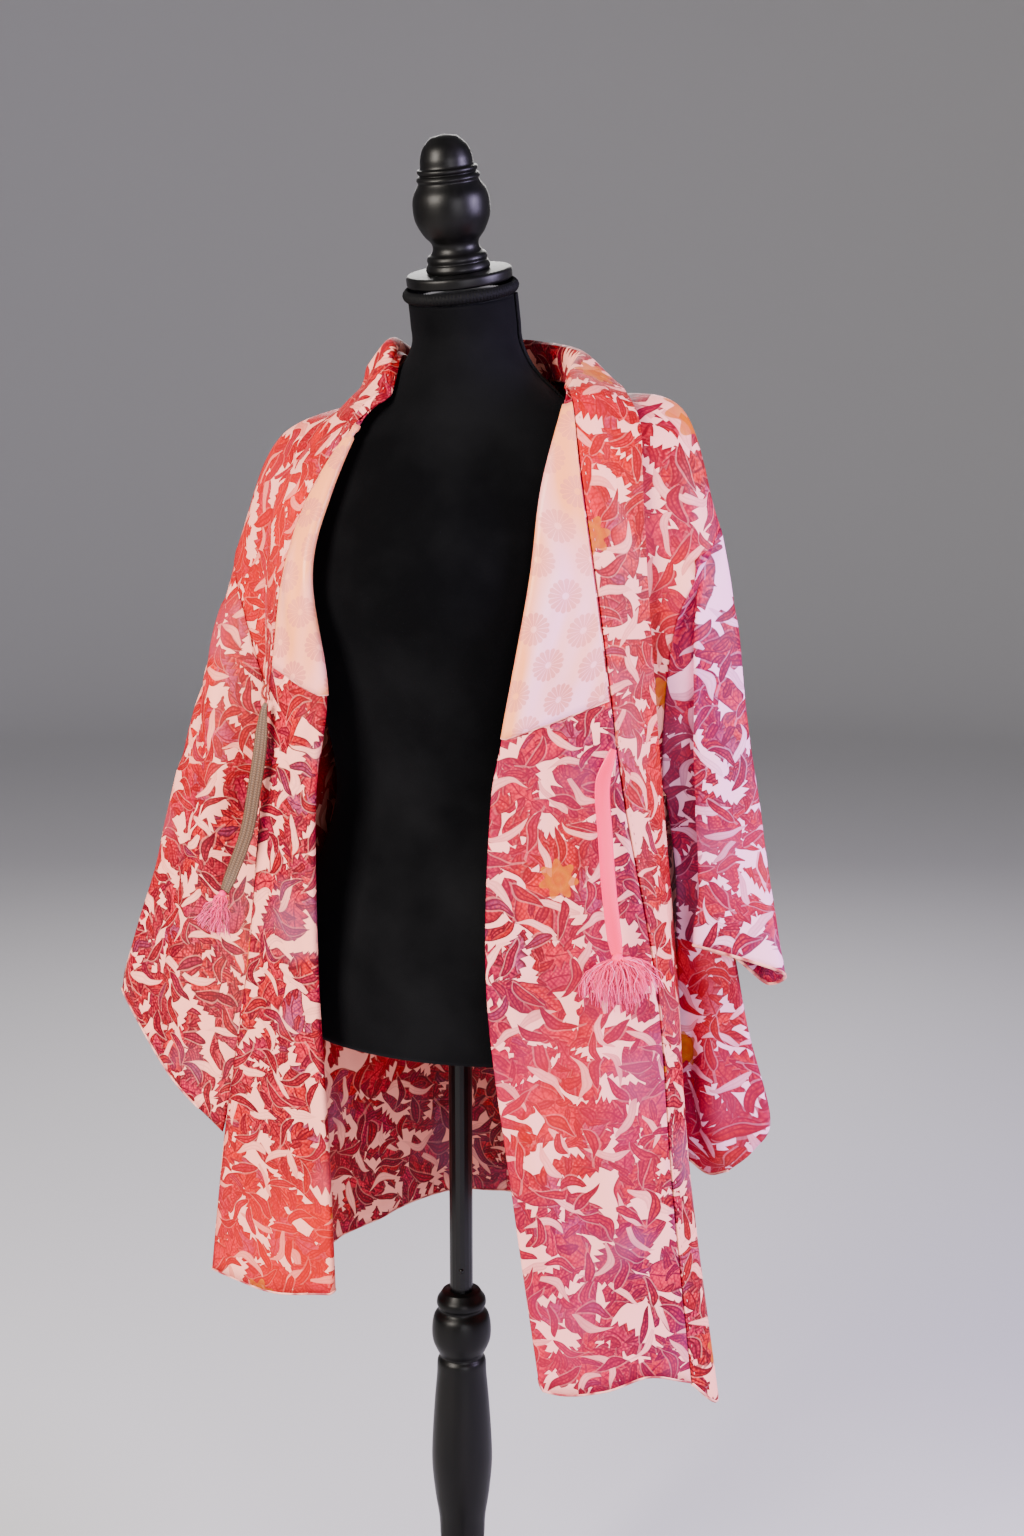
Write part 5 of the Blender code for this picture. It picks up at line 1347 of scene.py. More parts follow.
#   from across (measured from the roll), along, to across, along, width, height
LAPEL_FOLDS = {
    "left": (
        (0.02, -0.5, 0.024, -0.86, 0.01, 0.003), (0.052, -0.36, 0.06, -0.86, 0.013, -0.003),
        (0.085, -0.45, 0.092, -0.86, 0.012, 0.0032), (0.03, -0.26, 0.016, -0.4, 0.01, 0.0018),
        (0.06, -0.1, 0.034, -0.3, 0.012, -0.0016), (0.045, -0.74, 0.02, -0.84, 0.01, 0.0025),
    ),
    "right": (
        (0.02, -0.4, 0.03, -0.8, 0.012, 0.0034), (0.06, -0.45, 0.075, -0.84, 0.014, -0.0034),
        (0.1, -0.5, 0.112, -0.84, 0.012, 0.003), (0.03, -0.22, 0.018, -0.38, 0.01, 0.002),
    ),
}
SEEDS = {"left": 1.7, "right": 5.9}
SEAM_WIDTH = 0.003
SEAM_DEPTH = 0.0012


def body_half(side):
    """One half of the body: its panel and its lapel, each with its flat places."""
    panel, lapel = body_grids(side)
    flat = flat_of(panel, SHOULDER_PLACE * STEPS)
    flat[..., 0] = across = run_across(panel, from_end=True)
    from_inner = across[:, :1] - across
    rows = np.arange(len(panel))[:, None] / STEPS
    from_roll = np.where(rows >= APEX - 1, ease(from_inner, 0.004, 0.045), 1.0)
    at_neck = ease(rows, NECK - 1.2, NECK) - ease(rows, APEX, APEX + 2)
    from_neck = 1 - at_neck * (1 - ease(from_inner, 0.0, 0.05))
    from_back = np.where(rows < NECK, ease(from_inner, 0.0, 0.02), 1.0)
    on_shoulder = 1 - 0.8 * (ease(rows, 6.0, 8.0) - ease(rows, 11.0, 13.0))
    held = ease(across, 0.002, 0.045) * from_roll * from_neck * from_back * on_shoulder
    moved = fall(panel, flat, away_from_axis(panel), FOLDS[side], held, SEEDS[side])
    back_seam = np.where(rows <= NECK, np.exp(-(from_inner / SEAM_WIDTH) ** 2), 0.0)
    groove = SEAM_DEPTH * (back_seam + 0.6 * np.exp(-(across / SEAM_WIDTH) ** 2))
    moved = moved - normals_of(panel, away_from_axis(panel)) * groove[..., None]
    moved[:NECK * STEPS + 1, 0, 0] = panel[:NECK * STEPS + 1, 0, 0]

    lapel_across = run_across(lapel)
    lapel_flat = flat_of(lapel, top=flat[APEX * STEPS, 0, 1])
    own = lapel_flat.copy()
    lapel_flat[..., 0] += across[APEX * STEPS:, :1]
    held = ease(lapel_across, 0.006, 0.02) * ease(lapel_across[:, -1:] - lapel_across, 0.0, 0.016)
    outward = np.array([0.25 * OUT[side], -1.0, 0.0])
    lapel = fall(lapel, own, outward, LAPEL_FOLDS[side], held, SEEDS[side] + 3.1, 0.0012)
    silk_sheet("body_" + side, [(moved, flat), (lapel, lapel_flat)], SILK_BODY[side])
    return moved, flat, lapel, lapel_flat


HALVES = {side: body_half(side) for side in OUT}

# %% [markdown]
# The collar band is a long straight strip, folded double, that is sewn to the edge of
# both fronts and round the neck. Below the neck it lies back on the fronts. It is drawn from
# three lines, its seam, its middle and its free edge, and every point is then lifted
# until it lies clear on the panel under it. A thicker wall with rounded edges shows that
# the cloth is doubled.

# %% The collar band
BAND = 0.003
BAND_WALL = 0.85 * BAND
SEAM_GAP = 0.0003
BAND_LIFT = 0.0038
NECK_BEND = math.radians(100.0)
BAND_COLUMNS = 18
BACK_NECK_ROWS = 9.0
EDGE_ROUND = 0.0009
EDGE_ANGLE = math.radians(50.0)


def surface(grid):
    """A grid of points as triangles that can be asked for their nearest point."""
    rows, columns = grid.shape[:2]
    faces = []
    for i in range(rows - 1):
        for k in range(columns - 1):
            first = i * columns + k
            faces += [(first, first + 1, first + columns + 1), (first, first + columns + 1, first + columns)]
    return BVHTree.FromPolygons([tuple(point) for point in grid.reshape(-1, 3)], faces)


def lie_on(point, tree, gap):
    """Move a point outwards, away from the form's axis, until it lies that far off a surface."""
    near, normal, _, _ = tree.find_nearest(Vector(point))
    if normal.dot(Vector((point[0], point[1] - 0.015, 0.06))) < 0:
        normal = -normal
    short = gap - (Vector(point) - near).dot(normal)
    return np.array(Vector(point) + normal * max(0.0, short))


def fold_gap(lead, away):
    """Clear length at a seam where the walls meet at an angle."""
    cosine = float(np.dot(unit(lead), unit(away)))
    bend = min(math.acos(max(-1.0, min(1.0, cosine))), NECK_BEND)
    return 2 * SEAM_GAP + 0.5 * (WALL + BAND) * math.tan(bend / 2)


def smoothed(grid, rounds):
    """Even out a grid from row to row, with its first column left where it is."""
    grid = grid.copy()
    for _ in range(rounds):
        middle = 0.25 * grid[:-2] + 0.5 * grid[1:-1] + 0.25 * grid[2:]
        grid[1:-1, 1:] = middle[:, 1:]
    return grid


def half_band(side):
    """The band from the centre back to one hem."""
    panel = HALVES[side][0]
    tree = surface(panel)
    lines = [key_line(COLLAR[side], first) for first in (1, 4, 7)]
    clear = 0.5 * (CLOTH + BAND) + BAND_LIFT
    half = []
    for i in range((len(COLLAR[side]) - 1) * STEPS + 1):
        place = i / STEPS
        s, m, e = (through(line, [place])[0] for line in lines)
        away = unit(m - s)
        a = inner_at(BODY[side], NECK + place)
        if place < APEX - NECK:
            lift = panel[NECK * STEPS + i][0] - a
            row = evenly([s + lift + away * SEAM_GAP, m + lift, e + lift], BAND_COLUMNS)
        else:
            row = evenly([s + away * fold_gap(s - a, away), m, e], BAND_COLUMNS)
        half.append([row[0]] + [lie_on(clear_of_form(point), tree, clear) for point in row[1:]])
    return smoothed(np.array(half), 6)


def whole_band():
    """The band as one grid, from the left hem round the neck to the right hem."""
    left, right = half_band("left"), half_band("right")
    whole = np.concatenate([left[::-1], right[1:]])
    near_back = np.exp(-((np.arange(len(whole)) - len(left) + 1) / BACK_NECK_ROWS) ** 2)[:, None, None]
    return whole + (smoothed(whole, 60) - whole) * near_back


band = whole_band()
band_flat = np.stack([run_across(band), run_along(band)], axis=2)
collar_band = silk_sheet("collar_band", [(band, band_flat)], SILK_BAND, BAND_WALL)
rounding = collar_band.modifiers.new("soft edge", "BEVEL")
rounding.width = EDGE_ROUND
rounding.segments = 2
rounding.angle_limit = EDGE_ANGLE

# %% [markdown]
# A gusset is a narrow wedge between the back and the front below the armhole, which lets
# the coat swing out. It is sewn to both side edges, so it is simply the sheet between
# those two lines, with one soft fold down its middle.

# %% The gussets
GUSSET_COLUMNS = 12
GUSSET_DIP = {"left": -0.006, "right": -0.005}


def gusset(side):
    """The sheet between the side edges of the back and the front."""
    edge = key_line(BODY[side], 10)
    count = ARMHOLE_BACK * STEPS
    rows = []
    for t in np.arange(count + 1) / count:
        back = through(edge, [ARMHOLE_BACK * (1 - t)])[0]
        front = through(edge, [ARMHOLE_FRONT + (len(edge) - 1 - ARMHOLE_FRONT) * t])[0]
        rows.append([clear_of_form(point) for point in np.linspace(back, front, GUSSET_COLUMNS)])
    grid = np.array(rows)
    across = run_across(grid)
    down = np.arange(count + 1)[:, None] / count
    dip = GUSSET_DIP[side] * ease(down, 0.1, 0.9) * np.sin(math.pi * across / across[:, -1:]) ** 2
    grid = grid + normals_of(grid, away_from_axis(grid)) * dip[..., None]
    flat = np.stack([across, -run_along(grid)], axis=2)
    return silk_sheet("gusset_" + side, [(grid, flat)], SILK_BODY[side])


for side in OUT:
    gusset(side)

# %% [markdown]
# The sleeves are deep bags. Each is a flat piece that is folded at the shoulder, sewn down
# its outer edge below the hand opening, and joined to the body at the top only. On the
# form they hang empty: the left one falls in a pleat from the shoulder and shows its
# cuff and its pouch, and the right one hangs flat with a slanting lower edge. Rows go
# down from the armhole, and the top rows take their ends from the body's own edge.

# %% Rows of the sleeves
EDGE_POINTS = 160


def at_height(edge, z):
    """The point of a falling edge at a height."""
    order = np.argsort(edge[:, 2])
    return read_at(edge[order, 2], edge[order], [z])[0]


def sleeve_rows(table, side, fills):
    """Rows through a sleeve's sections, sewn to the body's edge above the armhole's end."""
    lines = [key_line(table, first) for first in range(1, len(table[0]), 3)]
    edge, top = key_line(BODY[side], 10), NECK + 1.5
    front, back = (through(edge, np.linspace(top, end, EDGE_POINTS)) for end in (ARMHOLE_FRONT, ARMHOLE_BACK))
    places = [0.0] + [k + (j + 1) / fill for k, fill in enumerate(fills) for j in range(fill)]
    rows = []
    for i in range((len(table) - 1) * STEPS + 1):
        keys = np.array([through(line, [i / STEPS])[0] for line in lines])
        if i / STEPS <= ARMHOLE_ROW:
            keys[0] = at_height(front, keys[0][2])
            keys[-1] = at_height(back, keys[-1][2])
        if i == 0:
            arch = np.vstack([front[front[:, 2] > keys[0][2]][::-1], back[back[:, 2] > keys[-1][2]]])
            rows.append(evenly(arch[::6], len(places)))
        else:
            rows.append(through(keys, places))
    return np.array(rows)


def out_of(grid, ends):
    """The direction to each point from the middle of some points of its row."""
    return grid - grid[:, ends].mean(axis=1, keepdims=True)


# %% [markdown]
# The left sleeve is two grids: the sleeve down to its cuff, and the pouch that goes on
# below it from the inner part of both layers. The pouch's first rows are eased into the
# sleeve's last row, and its bottom is closed by giving both layers the same last points.

# %% The left sleeve
LEFT_FILLS = (16, 6, 14, 7, 7, 16)
SLEEVE_FOLDS_LEFT = (
    (0.02, -0.05, 0.012, -0.34, 0.01, 0.0025), (0.055, -0.12, 0.06, -0.34, 0.007, -0.002),
    (0.075, -0.16, 0.085, -0.33, 0.01, 0.0022), (0.06, -0.3, 0.075, -0.37, 0.008, 0.0018),
    (0.03, -0.36, 0.036, -0.52, 0.014, 0.0045), (0.012, -0.42, 0.02, -0.56, 0.008, -0.0025),
)


def pouch_rows(upper):
    """The pouch, from the sleeve's last row to its closed bottom."""
    front_count, back_count = LEFT_FILLS[0] + 1, LEFT_FILLS[-1] + 1
    lines = [key_line(POUCH_LEFT, first) for first in (1, 4, 7, 10, 13)]
    turn = np.array([0.0, OUTER_TURN, 0.0])
    rows = []
    for i in range((len(POUCH_LEFT) - 1) * STEPS + 1):
        free, belly, outer, swell, back = (through(line, [i / STEPS])[0] for line in lines)
        front_half = through((free, belly, outer), np.linspace(0, 2, front_count))
        back_half = through((outer + turn, swell, back), np.linspace(0, 2, back_count))
        rows.append(np.concatenate([front_half, back_half]))
    pouch = np.array(rows)
    start = np.concatenate([upper[-1][:front_count], upper[-1][-back_count:]])
    share = ease(np.arange(len(pouch)) / STEPS, 0.0, 1.0)[:, None, None]
    pouch = pouch + (start - pouch[0]) * (1 - share)
    for k in range(front_count):
        pouch[-1, -1 - k] = pouch[-1, k]
    return pouch


def sleeve_left():
    """The left sleeve; gives its two grids."""
    upper = sleeve_rows(SLEEVE_LEFT, "left", LEFT_FILLS)
    pouch = pouch_rows(upper)
    flat = flat_of(upper)
    rows, share = rows_and_share(upper)
    cuff = ease(share, 0.25, 0.3) - ease(share, 0.8, 0.85)
    held = ends_still(share, 0.12) * ease(rows, 0.0, 0.8) * (1 - ease(rows, 4.6, 5.0) * (1 - cuff))
    upper = fall(upper, flat, out_of(upper, [0, -1]), SLEEVE_FOLDS_LEFT, held, 11.3, 0.0016)
    pouch_flat = flat_of(pouch, top=flat[-1, 0, 1])
    rows, share = rows_and_share(pouch)
    held = ease(rows, 0.0, 0.5) * ease(len(POUCH_LEFT) - 1 - rows, 0.0, 0.7)
    held = held * ends_still(share, 0.08) * (1 - np.exp(-((share - 0.5) / 0.05) ** 2))
    pouch = fall(pouch, pouch_flat, out_of(pouch, slice(None)), SLEEVE_FOLDS_LEFT, held, 13.9, 0.0018)
    silk_sheet("sleeve_left", [(upper, flat), (pouch, pouch_flat)], SILK_SLEEVE_LEFT)
    return upper, pouch


upper_sleeve, pouch = sleeve_left()

# %% [markdown]
# The right sleeve is a single grid. Its lower edge is sewn for a short way at the inner
# corner and open from there outwards, so some of its last points are brought together.

# %% The right sleeve
RIGHT_FILLS = (16, 16, 16, 16)
RIGHT_CLOSED = 8
SLEEVE_FOLDS_RIGHT = (
    (0.05, -0.06, 0.075, -0.42, 0.016, 0.004), (0.09, -0.14, 0.11, -0.46, 0.014, -0.0035),
    (0.03, -0.2, 0.035, -0.5, 0.012, -0.0025), (0.13, -0.22, 0.15, -0.46, 0.012, 0.003),
)


def sleeve_right():
    """The right sleeve; gives its grid."""
    grid = sleeve_rows(SLEEVE_RIGHT, "right", RIGHT_FILLS)
    for closed in range(RIGHT_CLOSED):
        grid[-1, -1 - closed] = grid[-1, closed]
    flat = flat_of(grid)
    rows, share = rows_and_share(grid)
    held = ends_still(share, 0.1) * ease(rows, 0.0, 0.8) * ease(len(SLEEVE_RIGHT) - 1 - rows, 0.0, 0.6)
    grid = fall(grid, flat, out_of(grid, [0, -1]), SLEEVE_FOLDS_RIGHT, held, 17.1, 0.0018)
    silk_sheet("sleeve_right", [(grid, flat)], SILK_SLEEVE_RIGHT)
    return grid


right_sleeve = sleeve_right()

# %% [markdown]
# The lining lies on the inner face of each front, which the turned lapel brings outside.
# Its points are the lapel's own, moved out by a cloth's thickness, from the roll to just
# short of the band seam, and down to where the lining ends in a straight sewn edge.

# %% The linings
LINING = 0.0008
LINING_OFF = 0.5 * WALL + 0.5 * LINING + 0.0004
LINING_SHORT = 0.0012


def lining(side):
    """The lining on a lapel and round its roll; gives its grid."""
    panel, panel_flat, lapel, lapel_flat = HALVES[side]
    first, last = APEX * STEPS + 1, LINING_END * STEPS + 1
    points, flat = (np.concatenate([under[first:last, ROLL_COLUMNS - 1:0:-1],
                                    over[1:last - first + 1]], axis=1)
                    for under, over in ((panel, lapel), (panel_flat, lapel_flat)))
    normal = unit(np.cross(np.gradient(points, axis=0), np.gradient(points, axis=1)))
    middle = normal[:, normal.shape[1] // 2]
    normal = normal * np.where(middle @ np.array([0.25 * OUT[side], -1.0, 0.0]) < 0, -1.0, 1.0)[:, None, None]
    moved = points + normal * LINING_OFF
    moved[:, -1] -= LINING_SHORT * unit(moved[:, -1] - moved[:, -2])
    silk_sheet("lining_" + side, [(moved, flat)], LINING_SILK[side], LINING)
    return moved


LININGS = {side: lining(side) for side in OUT}

# %% [markdown]
# Edges are finished with a narrow rolled hem, which shows as a thin pale cord. Each is a
# fine tube that follows an edge of the sheet it finishes, so it can't drift off it. The
# rolls have a colour of their own, the ground of the print with a little red.

# %% Hems
HEM_R = 0.0011
HEM_OF_LINING = 0.0006


def rolled_silk():
    """Plain pale silk for rolled edges, with fine hand stitches along it."""
    material, tree, shader = new_finish("rolled hem silk", Roughness=0.45, Sheen_Weight=0.15)
    place = flat_place(tree)
    cloud = clouds(place, 55.0, 2.0, "3D")
    colour = layered(between(cloud, 0.44, 0.6), dye(240, 160, 146), dye(150, 20, 40))
    dress(shader, colour, zigzag(sides_of(place)[1], 340.0), 0.0002, 0.3)
    return material


ROLLED_SILK = rolled_silk()


def tube_rows(line, radius, sides=8, start=0.0):
    """Rows of points round a line, closed at both ends, and their flat places."""
    line = np.asarray(line, float)
    ahead = unit(np.gradient(line, axis=0))
    run = run_of(line) + start
    angles = np.linspace(0, 2 * math.pi, sides + 1)
    side = unit(np.cross(ahead[0], (0.31, 0.17, 0.93)))
    rows, flats = [[line[0]] * (sides + 1)], [[(0.0, run[0])] * (sides + 1)]
    for point, direction, far in zip(line, ahead, run):
        side = unit(side - direction * np.dot(side, direction))
        other = np.cross(direction, side)
        rows.append([point + radius * (math.cos(g) * side + math.sin(g) * other) for g in angles])
        flats.append([(radius * g, far) for g in angles])
    rows.append([line[-1]] * (sides + 1))
    flats.append([(0.0, run[-1])] * (sides + 1))
    return rows, flats


def tubes(name, lines, radius, material, sides=8, node=None):
    """A piece of one or more tubes of the same size."""
    mesh = flat_mesh(name, [tube_rows(line, radius, sides) for line in lines])
    return link(name, mesh, material, node)


#   sheet, name of its hem, edges, radius
HEMS = []
for side, (panel, _, lapel, _) in HALVES.items():
    front_hem = np.concatenate([panel[-1][::-1], lapel[-1][1:]])
    HEMS.append(("body_" + side, "hem_body_" + side, [panel[0], front_hem], HEM_R))
HEMS += [
    ("sleeve_left", "hem_sleeve_left",
     [upper_sleeve[-1][LEFT_FILLS[0]:-LEFT_FILLS[-1]], pouch[-1][:LEFT_FILLS[0] + 1]], 0.0014),
    ("sleeve_right", "hem_sleeve_right", [right_sleeve[-1][RIGHT_CLOSED - 1:-RIGHT_CLOSED + 1]], 0.0013),
    ("collar_band", "hem_band", [band[0], band[-1]], 0.0016),
    *(("lining_" + side, "hem_lining_" + side, [grid[-1]], HEM_OF_LINING) for side, grid in LININGS.items()),
]
TRIMS = {node: [tubes(name, edges, radius, ROLLED_SILK)] for node, name, edges, radius in HEMS}
print(len(TRIMS), "sheets with rolled hems")

# %% [markdown]
# The band is caught down beside its seam with small even stitches of pale silk, about one
# every eight millimetres. Each is a short tube that lies on the band with its ends sunk
# in it, and they are all one mesh.

# %% Stitches beside the band seam
STITCH_STEP = 0.008
STITCH_LONG = 0.0024
STITCH_R = 0.00035
STITCH_FROM_END = 0.01
STITCH_HUMP = np.array([-1.0, 0.2, 0.5, 0.2, -1.0]) * STITCH_R


def stitch_line(name, grid, column, lift):
    """Small stitches along one column of a grid, on its outer side."""
    normal = normals_of(grid, away_from_axis(grid))[:, column]
    line = grid[:, column] + normal * lift
    run = run_of(line)
    made = []
    for start in np.arange(STITCH_FROM_END, run[-1] - STITCH_FROM_END, STITCH_STEP):
        at = np.linspace(start, start + STITCH_LONG, len(STITCH_HUMP))
        points = read_at(run, line, at) + read_at(run, normal, at) * STITCH_HUMP[:, None]
        made.append(tube_rows(points, STITCH_R, 6, start))
    return link(name, flat_mesh(name, made), ROLLED_SILK)


TRIMS["collar_band"].append(stitch_line("band_stitches", band, 1, 0.5 * BAND_WALL))

# %% [markdown]
# A small loop of the coat's own silk stands out of each band seam and carries the tie. It
# is a thin twisted cord, bent into most of a ring.

# %% The loops
LOOP_R = 0.006
LOOP_CORD = 0.0012
LOOP_AT = {"left": (0.1885, -0.08, 0.971), "right": (-0.1205, -0.128, 0.997)}
UP = np.array([0.0, 0.0, 1.0])


def cord_finish(name, twists, dark, light, matt=None, **constants):
    """A twisted cord, painted lighter on its ridges and darker in its grooves as light and shade; matt: its
    roughness where that isn't constant.
    """
    material, tree, shader = new_finish(name, **constants)
    across, along, _ = sides_of(flat_place(tree))
    twist = zigzag(across + along, twists)
    # painted light and shade: the colour follows the twist's height, lighter on the ridges
    dress(shader, layered(twist, dark, light), twist, 0.0003, 0.6, matt and matt + twist * 0.2)
    return material


LOOP_SILK = cord_finish("loop silk", 500.0, dye(130, 14, 6), dye(190, 50, 26),
                        Roughness=0.5, Sheen_Weight=0.2)
for side, place in LOOP_AT.items():
    outward = unit((0.25 * OUT[side], -1.0, 0.0))
    ring = [np.array(place) + LOOP_R * ((0.2 + math.cos(g)) * outward + math.sin(g) * UP)
            for g in np.radians(np.arange(-88.0, 89.0, 8.0))]
    tubes("loop_" + side + "_cord", [ring], LOOP_CORD, LOOP_SILK, 12, "loop_" + side)

# %% [markdown]
# Every panel's size is listed as it was cut, which comes from how such a coat is made
# from a bolt about 36 cm wide: two body panels that run from hem to hem, two sleeves,
# wedges for the sides, one long band that is folded double, and the front linings.

# %% The cut sizes
#   sheet, flat size, how it is held, what it rests on, area where that isn't the size's product
CUTS = (
    ("body_left", (0.34, 1.7), "hung", ["torso"], {}),
    ("body_right", (0.3, 1.7), "hung", ["torso"], {}),
    ("gusset_left", (0.065, 0.47), "hung", ["body_left_silk"], {}),
    ("gusset_right", (0.062, 0.48), "hung", ["body_right_silk"], {}),
    ("sleeve_left", (0.2, 0.5), "hung", ["body_left_silk"], {}),
    ("sleeve_right", (0.24, 0.52), "hung", ["body_right_silk"], {}),
    ("collar_band", (0.066, 1.95), "folded", ["body_left_silk", "body_right_silk"], {}),
    ("lining_left", (0.1, 0.27), "laid", ["body_left_silk"], {"area": 0.0145}),
    ("lining_right", (0.065, 0.24), "laid", ["body_right_silk"], {"area": 0.0085}),
)
for node, flat, held, rests_on, more in CUTS:
    if node in TRIMS:
        more = {**more, "with_pieces": TRIMS[node]}

# %% [markdown]
# The form is a padded torso with no arms, covered in velvet. It is lofted through its rings
# with many sides, and its lower edge turns under to a flat base. The neck leans forward
# a little, as the rings' tilt says.

# %% The form
FORM_SIDES = 96
FORM_FINE = 6
#   share of the lowest ring, how far above it
FORM_BASE = ((0.0, 0.002), (0.5, 0.002), (0.9, 0.002), (0.93, 0.001), (0.965, -0.0002))
FORM_TOP = (0.9, 0.5, 0.0)


def velvet_form():
    """The torso, lofted through its rings and closed below by a turned-in base."""
    places = np.linspace(0, len(TORSO) - 1, (len(TORSO) - 1) * FORM_FINE + 1)
    g = np.linspace(0, 2 * math.pi, FORM_SIDES + 1)
    rows, flats = [], []
    for z, width, front, back, centre, tilt in through(FORM_NUMBERS, places):
        out = np.where(np.sin(g) < 0, front, back) * np.sin(g)
        up = z + math.tan(math.radians(tilt)) * out
        rows.append(np.stack([width * np.cos(g), centre + out, up], axis=1))
        flats.append([(0.14 * a, z) for a in g])
    base = [rows[0] * np.array([share, share, 1.0]) + lift * UP for share, lift in FORM_BASE]
    middle = rows[-1].mean(axis=0)
    neck = [middle + (rows[-1] - middle) * share for share in FORM_TOP]
    flats = [flats[0]] * len(base) + flats + [flats[-1]] * len(neck)
    mesh = flat_mesh("form_velvet", [(base + rows + neck, flats)], WELD_CLOTH)
    return link("form_velvet", mesh, VELVET, "torso")


print("form", len(velvet_form().data.polygons), "faces")

# %% [markdown]
# The neck ends in a black braid under a turned cap, and the finial stands on it. A plait
# of three cords round a ring gives the braid: each cord swings in and out and up and down, a
# third of a wave from the next. A narrower plait covers each side seam of the form.

# %% The neck braid
NECK_TILT = math.radians(14.0)
NECK_CAP_AT = np.array([0.0, 0.0095, 1.3365])
PLAIT_R = 0.0484
PLAIT_HEIGHT = 0.0056
PLAIT_WAVES = 34
SIDE_SEAM = math.radians(14.0)
SIDE_PLAIT_END = 12.4  # where under the collar a side plait ends, counted in the form's rings
SIDE_PLAIT_WAVES = 18
STRANDS = 3
WAVE_POINTS = 12  # points of a cord for each wave of its plait
BLACK_CORD = cord_finish("black cord", 900.0, dye(2, 2, 3), dye(12, 12, 14), matt=0.6, Specular_IOR_Level=0.1)


def phases(waves):
    """The wave of each strand of a plait, point by point."""
    return [(np.linspace(0, waves, waves * WAVE_POINTS + 1) + strand / STRANDS)[:, None] * 2 * math.pi
            for strand in range(STRANDS)]


def neck_plait():
    """Three cords plaited round the neck, in the tilt of the neck."""
    lean = np.array(Matrix.Rotation(NECK_TILT, 3, "X"))
    g = np.linspace(0, 2 * math.pi, PLAIT_WAVES * WAVE_POINTS + 1)[:, None]
    cords = []
    for phase in phases(PLAIT_WAVES):
        radius = PLAIT_R + 0.001 * np.cos(2 * phase)
        points = np.hstack([radius * np.cos(g), radius * np.sin(g), PLAIT_HEIGHT + 0.0034 * np.sin(phase)])
        cords.append(points @ lean.T + NECK_CAP_AT)
    return tubes("neck_plait", cords, 0.0021, BLACK_CORD, node="neck_trim")


def side_plait(name, turn):
    """Three cords plaited down one side seam of the form, from its neck to under the collar."""
    places = np.linspace(len(TORSO) - 1, SIDE_PLAIT_END, SIDE_PLAIT_WAVES * WAVE_POINTS + 1)
    z, width, _, back, centre, tilt = through(FORM_NUMBERS, places).T
    out = back * math.sin(turn)
    line = np.stack([width * math.cos(turn), centre + out, z + np.tan(np.radians(tilt)) * out], axis=1)
    off = np.array([math.cos(turn), math.sin(turn), 0.3])
    side = unit(np.cross(np.gradient(line, axis=0), off))
    cords = [line + off * (0.0012 + 0.0007 * np.cos(2 * phase)) + side * 0.0024 * np.sin(phase)
             for phase in phases(SIDE_PLAIT_WAVES)]
    return tubes(name, cords, 0.0012, BLACK_CORD, 6)


neck_plait()
side_plait("form_plait_left", SIDE_SEAM)
side_plait("form_plait_right", math.pi - SIDE_SEAM)

# %% [markdown]
# The cap, the finial, the column and the hub were turned on a lathe, so each is half an
# outline spun about its own axis. The outline is kept as radius and height; hard corners
# are eased a little, as sandpaper leaves them, and soft swells are read as smooth lines.

# %% Turned wood
STAND_TOP = 0.413
#   radius, height above the top of the neck
CAP_PROFILE = (
    (0.0, 0.0123), (0.045, 0.0123), (0.0465, 0.014), (0.0465, 0.0205), (0.045, 0.0223), (0.0, 0.0223),
)
FINIAL_PROFILE = (
    (0.0, 0.0226), (0.0275, 0.0226), (0.0282, 0.0255), (0.027, 0.029), (0.0258, 0.0305), (0.0264, 0.0335),
    (0.0252, 0.0365), (0.0222, 0.0385), (0.0203, 0.043), (0.0213, 0.048), (0.027, 0.055), (0.0325, 0.0669),
    (0.0335, 0.079), (0.0318, 0.0885), (0.0272, 0.096), (0.0264, 0.0982), (0.0276, 0.1005), (0.0264, 0.103),
    (0.0246, 0.1044), (0.0262, 0.1066), (0.0258, 0.1088), (0.0232, 0.1105), (0.0224, 0.118), (0.0188, 0.127),
    (0.0115, 0.1343), (0.0, 0.1366),
)
#   radius, height above the floor
COLUMN_PROFILE = (
    (0.0, 0.15), (0.02, 0.15), (0.0215, 0.16), (0.0225, 0.18), (0.0262, 0.205), (0.029, 0.235),
    (0.0286, 0.262), (0.0262, 0.3), (0.0238, 0.328), (0.0232, 0.342), (0.0205, 0.348), (0.0235, 0.354),
    (0.0275, 0.364), (0.0282, 0.376), (0.0262, 0.388), (0.0215, 0.395), (0.0235, 0.4), (0.023, 0.405),
    (0.0205, 0.409), (0.018, STAND_TOP), (0.0, STAND_TOP),
)
HUB_PROFILE = ((0.0, 0.07), (0.026, 0.07), (0.032, 0.078), (0.033, 0.12), (0.029, 0.14), (0.0, 0.1497))
LATHE_SIDES = 72
LATHE_FINE = 5
EASE_LENGTH = 0.0012


def eased(profile):
    """An outline with every corner cut to a short round."""
    points = np.array(profile, float)
    out = [points[0]]
    for before, corner, after in zip(points[:-2], points[1:-1], points[2:]):
        near, far = (corner + (other - corner)
                     * min(0.4, EASE_LENGTH / max(np.linalg.norm(other - corner), 1e-9))
                     for other in (before, after))
        out += [near, 0.25 * near + 0.5 * corner + 0.25 * far, far]
    out.append(points[-1])
    return np.array(out)


def swelled(profile):
    """An outline of soft swells, read as a smooth line between its first and last points."""
    points = np.array(profile, float)
    last = len(points) - 3
    places = np.linspace(0, last, last * LATHE_FINE + 1)
    return np.vstack([points[:1], through(points[1:-1], places), points[-1:]])


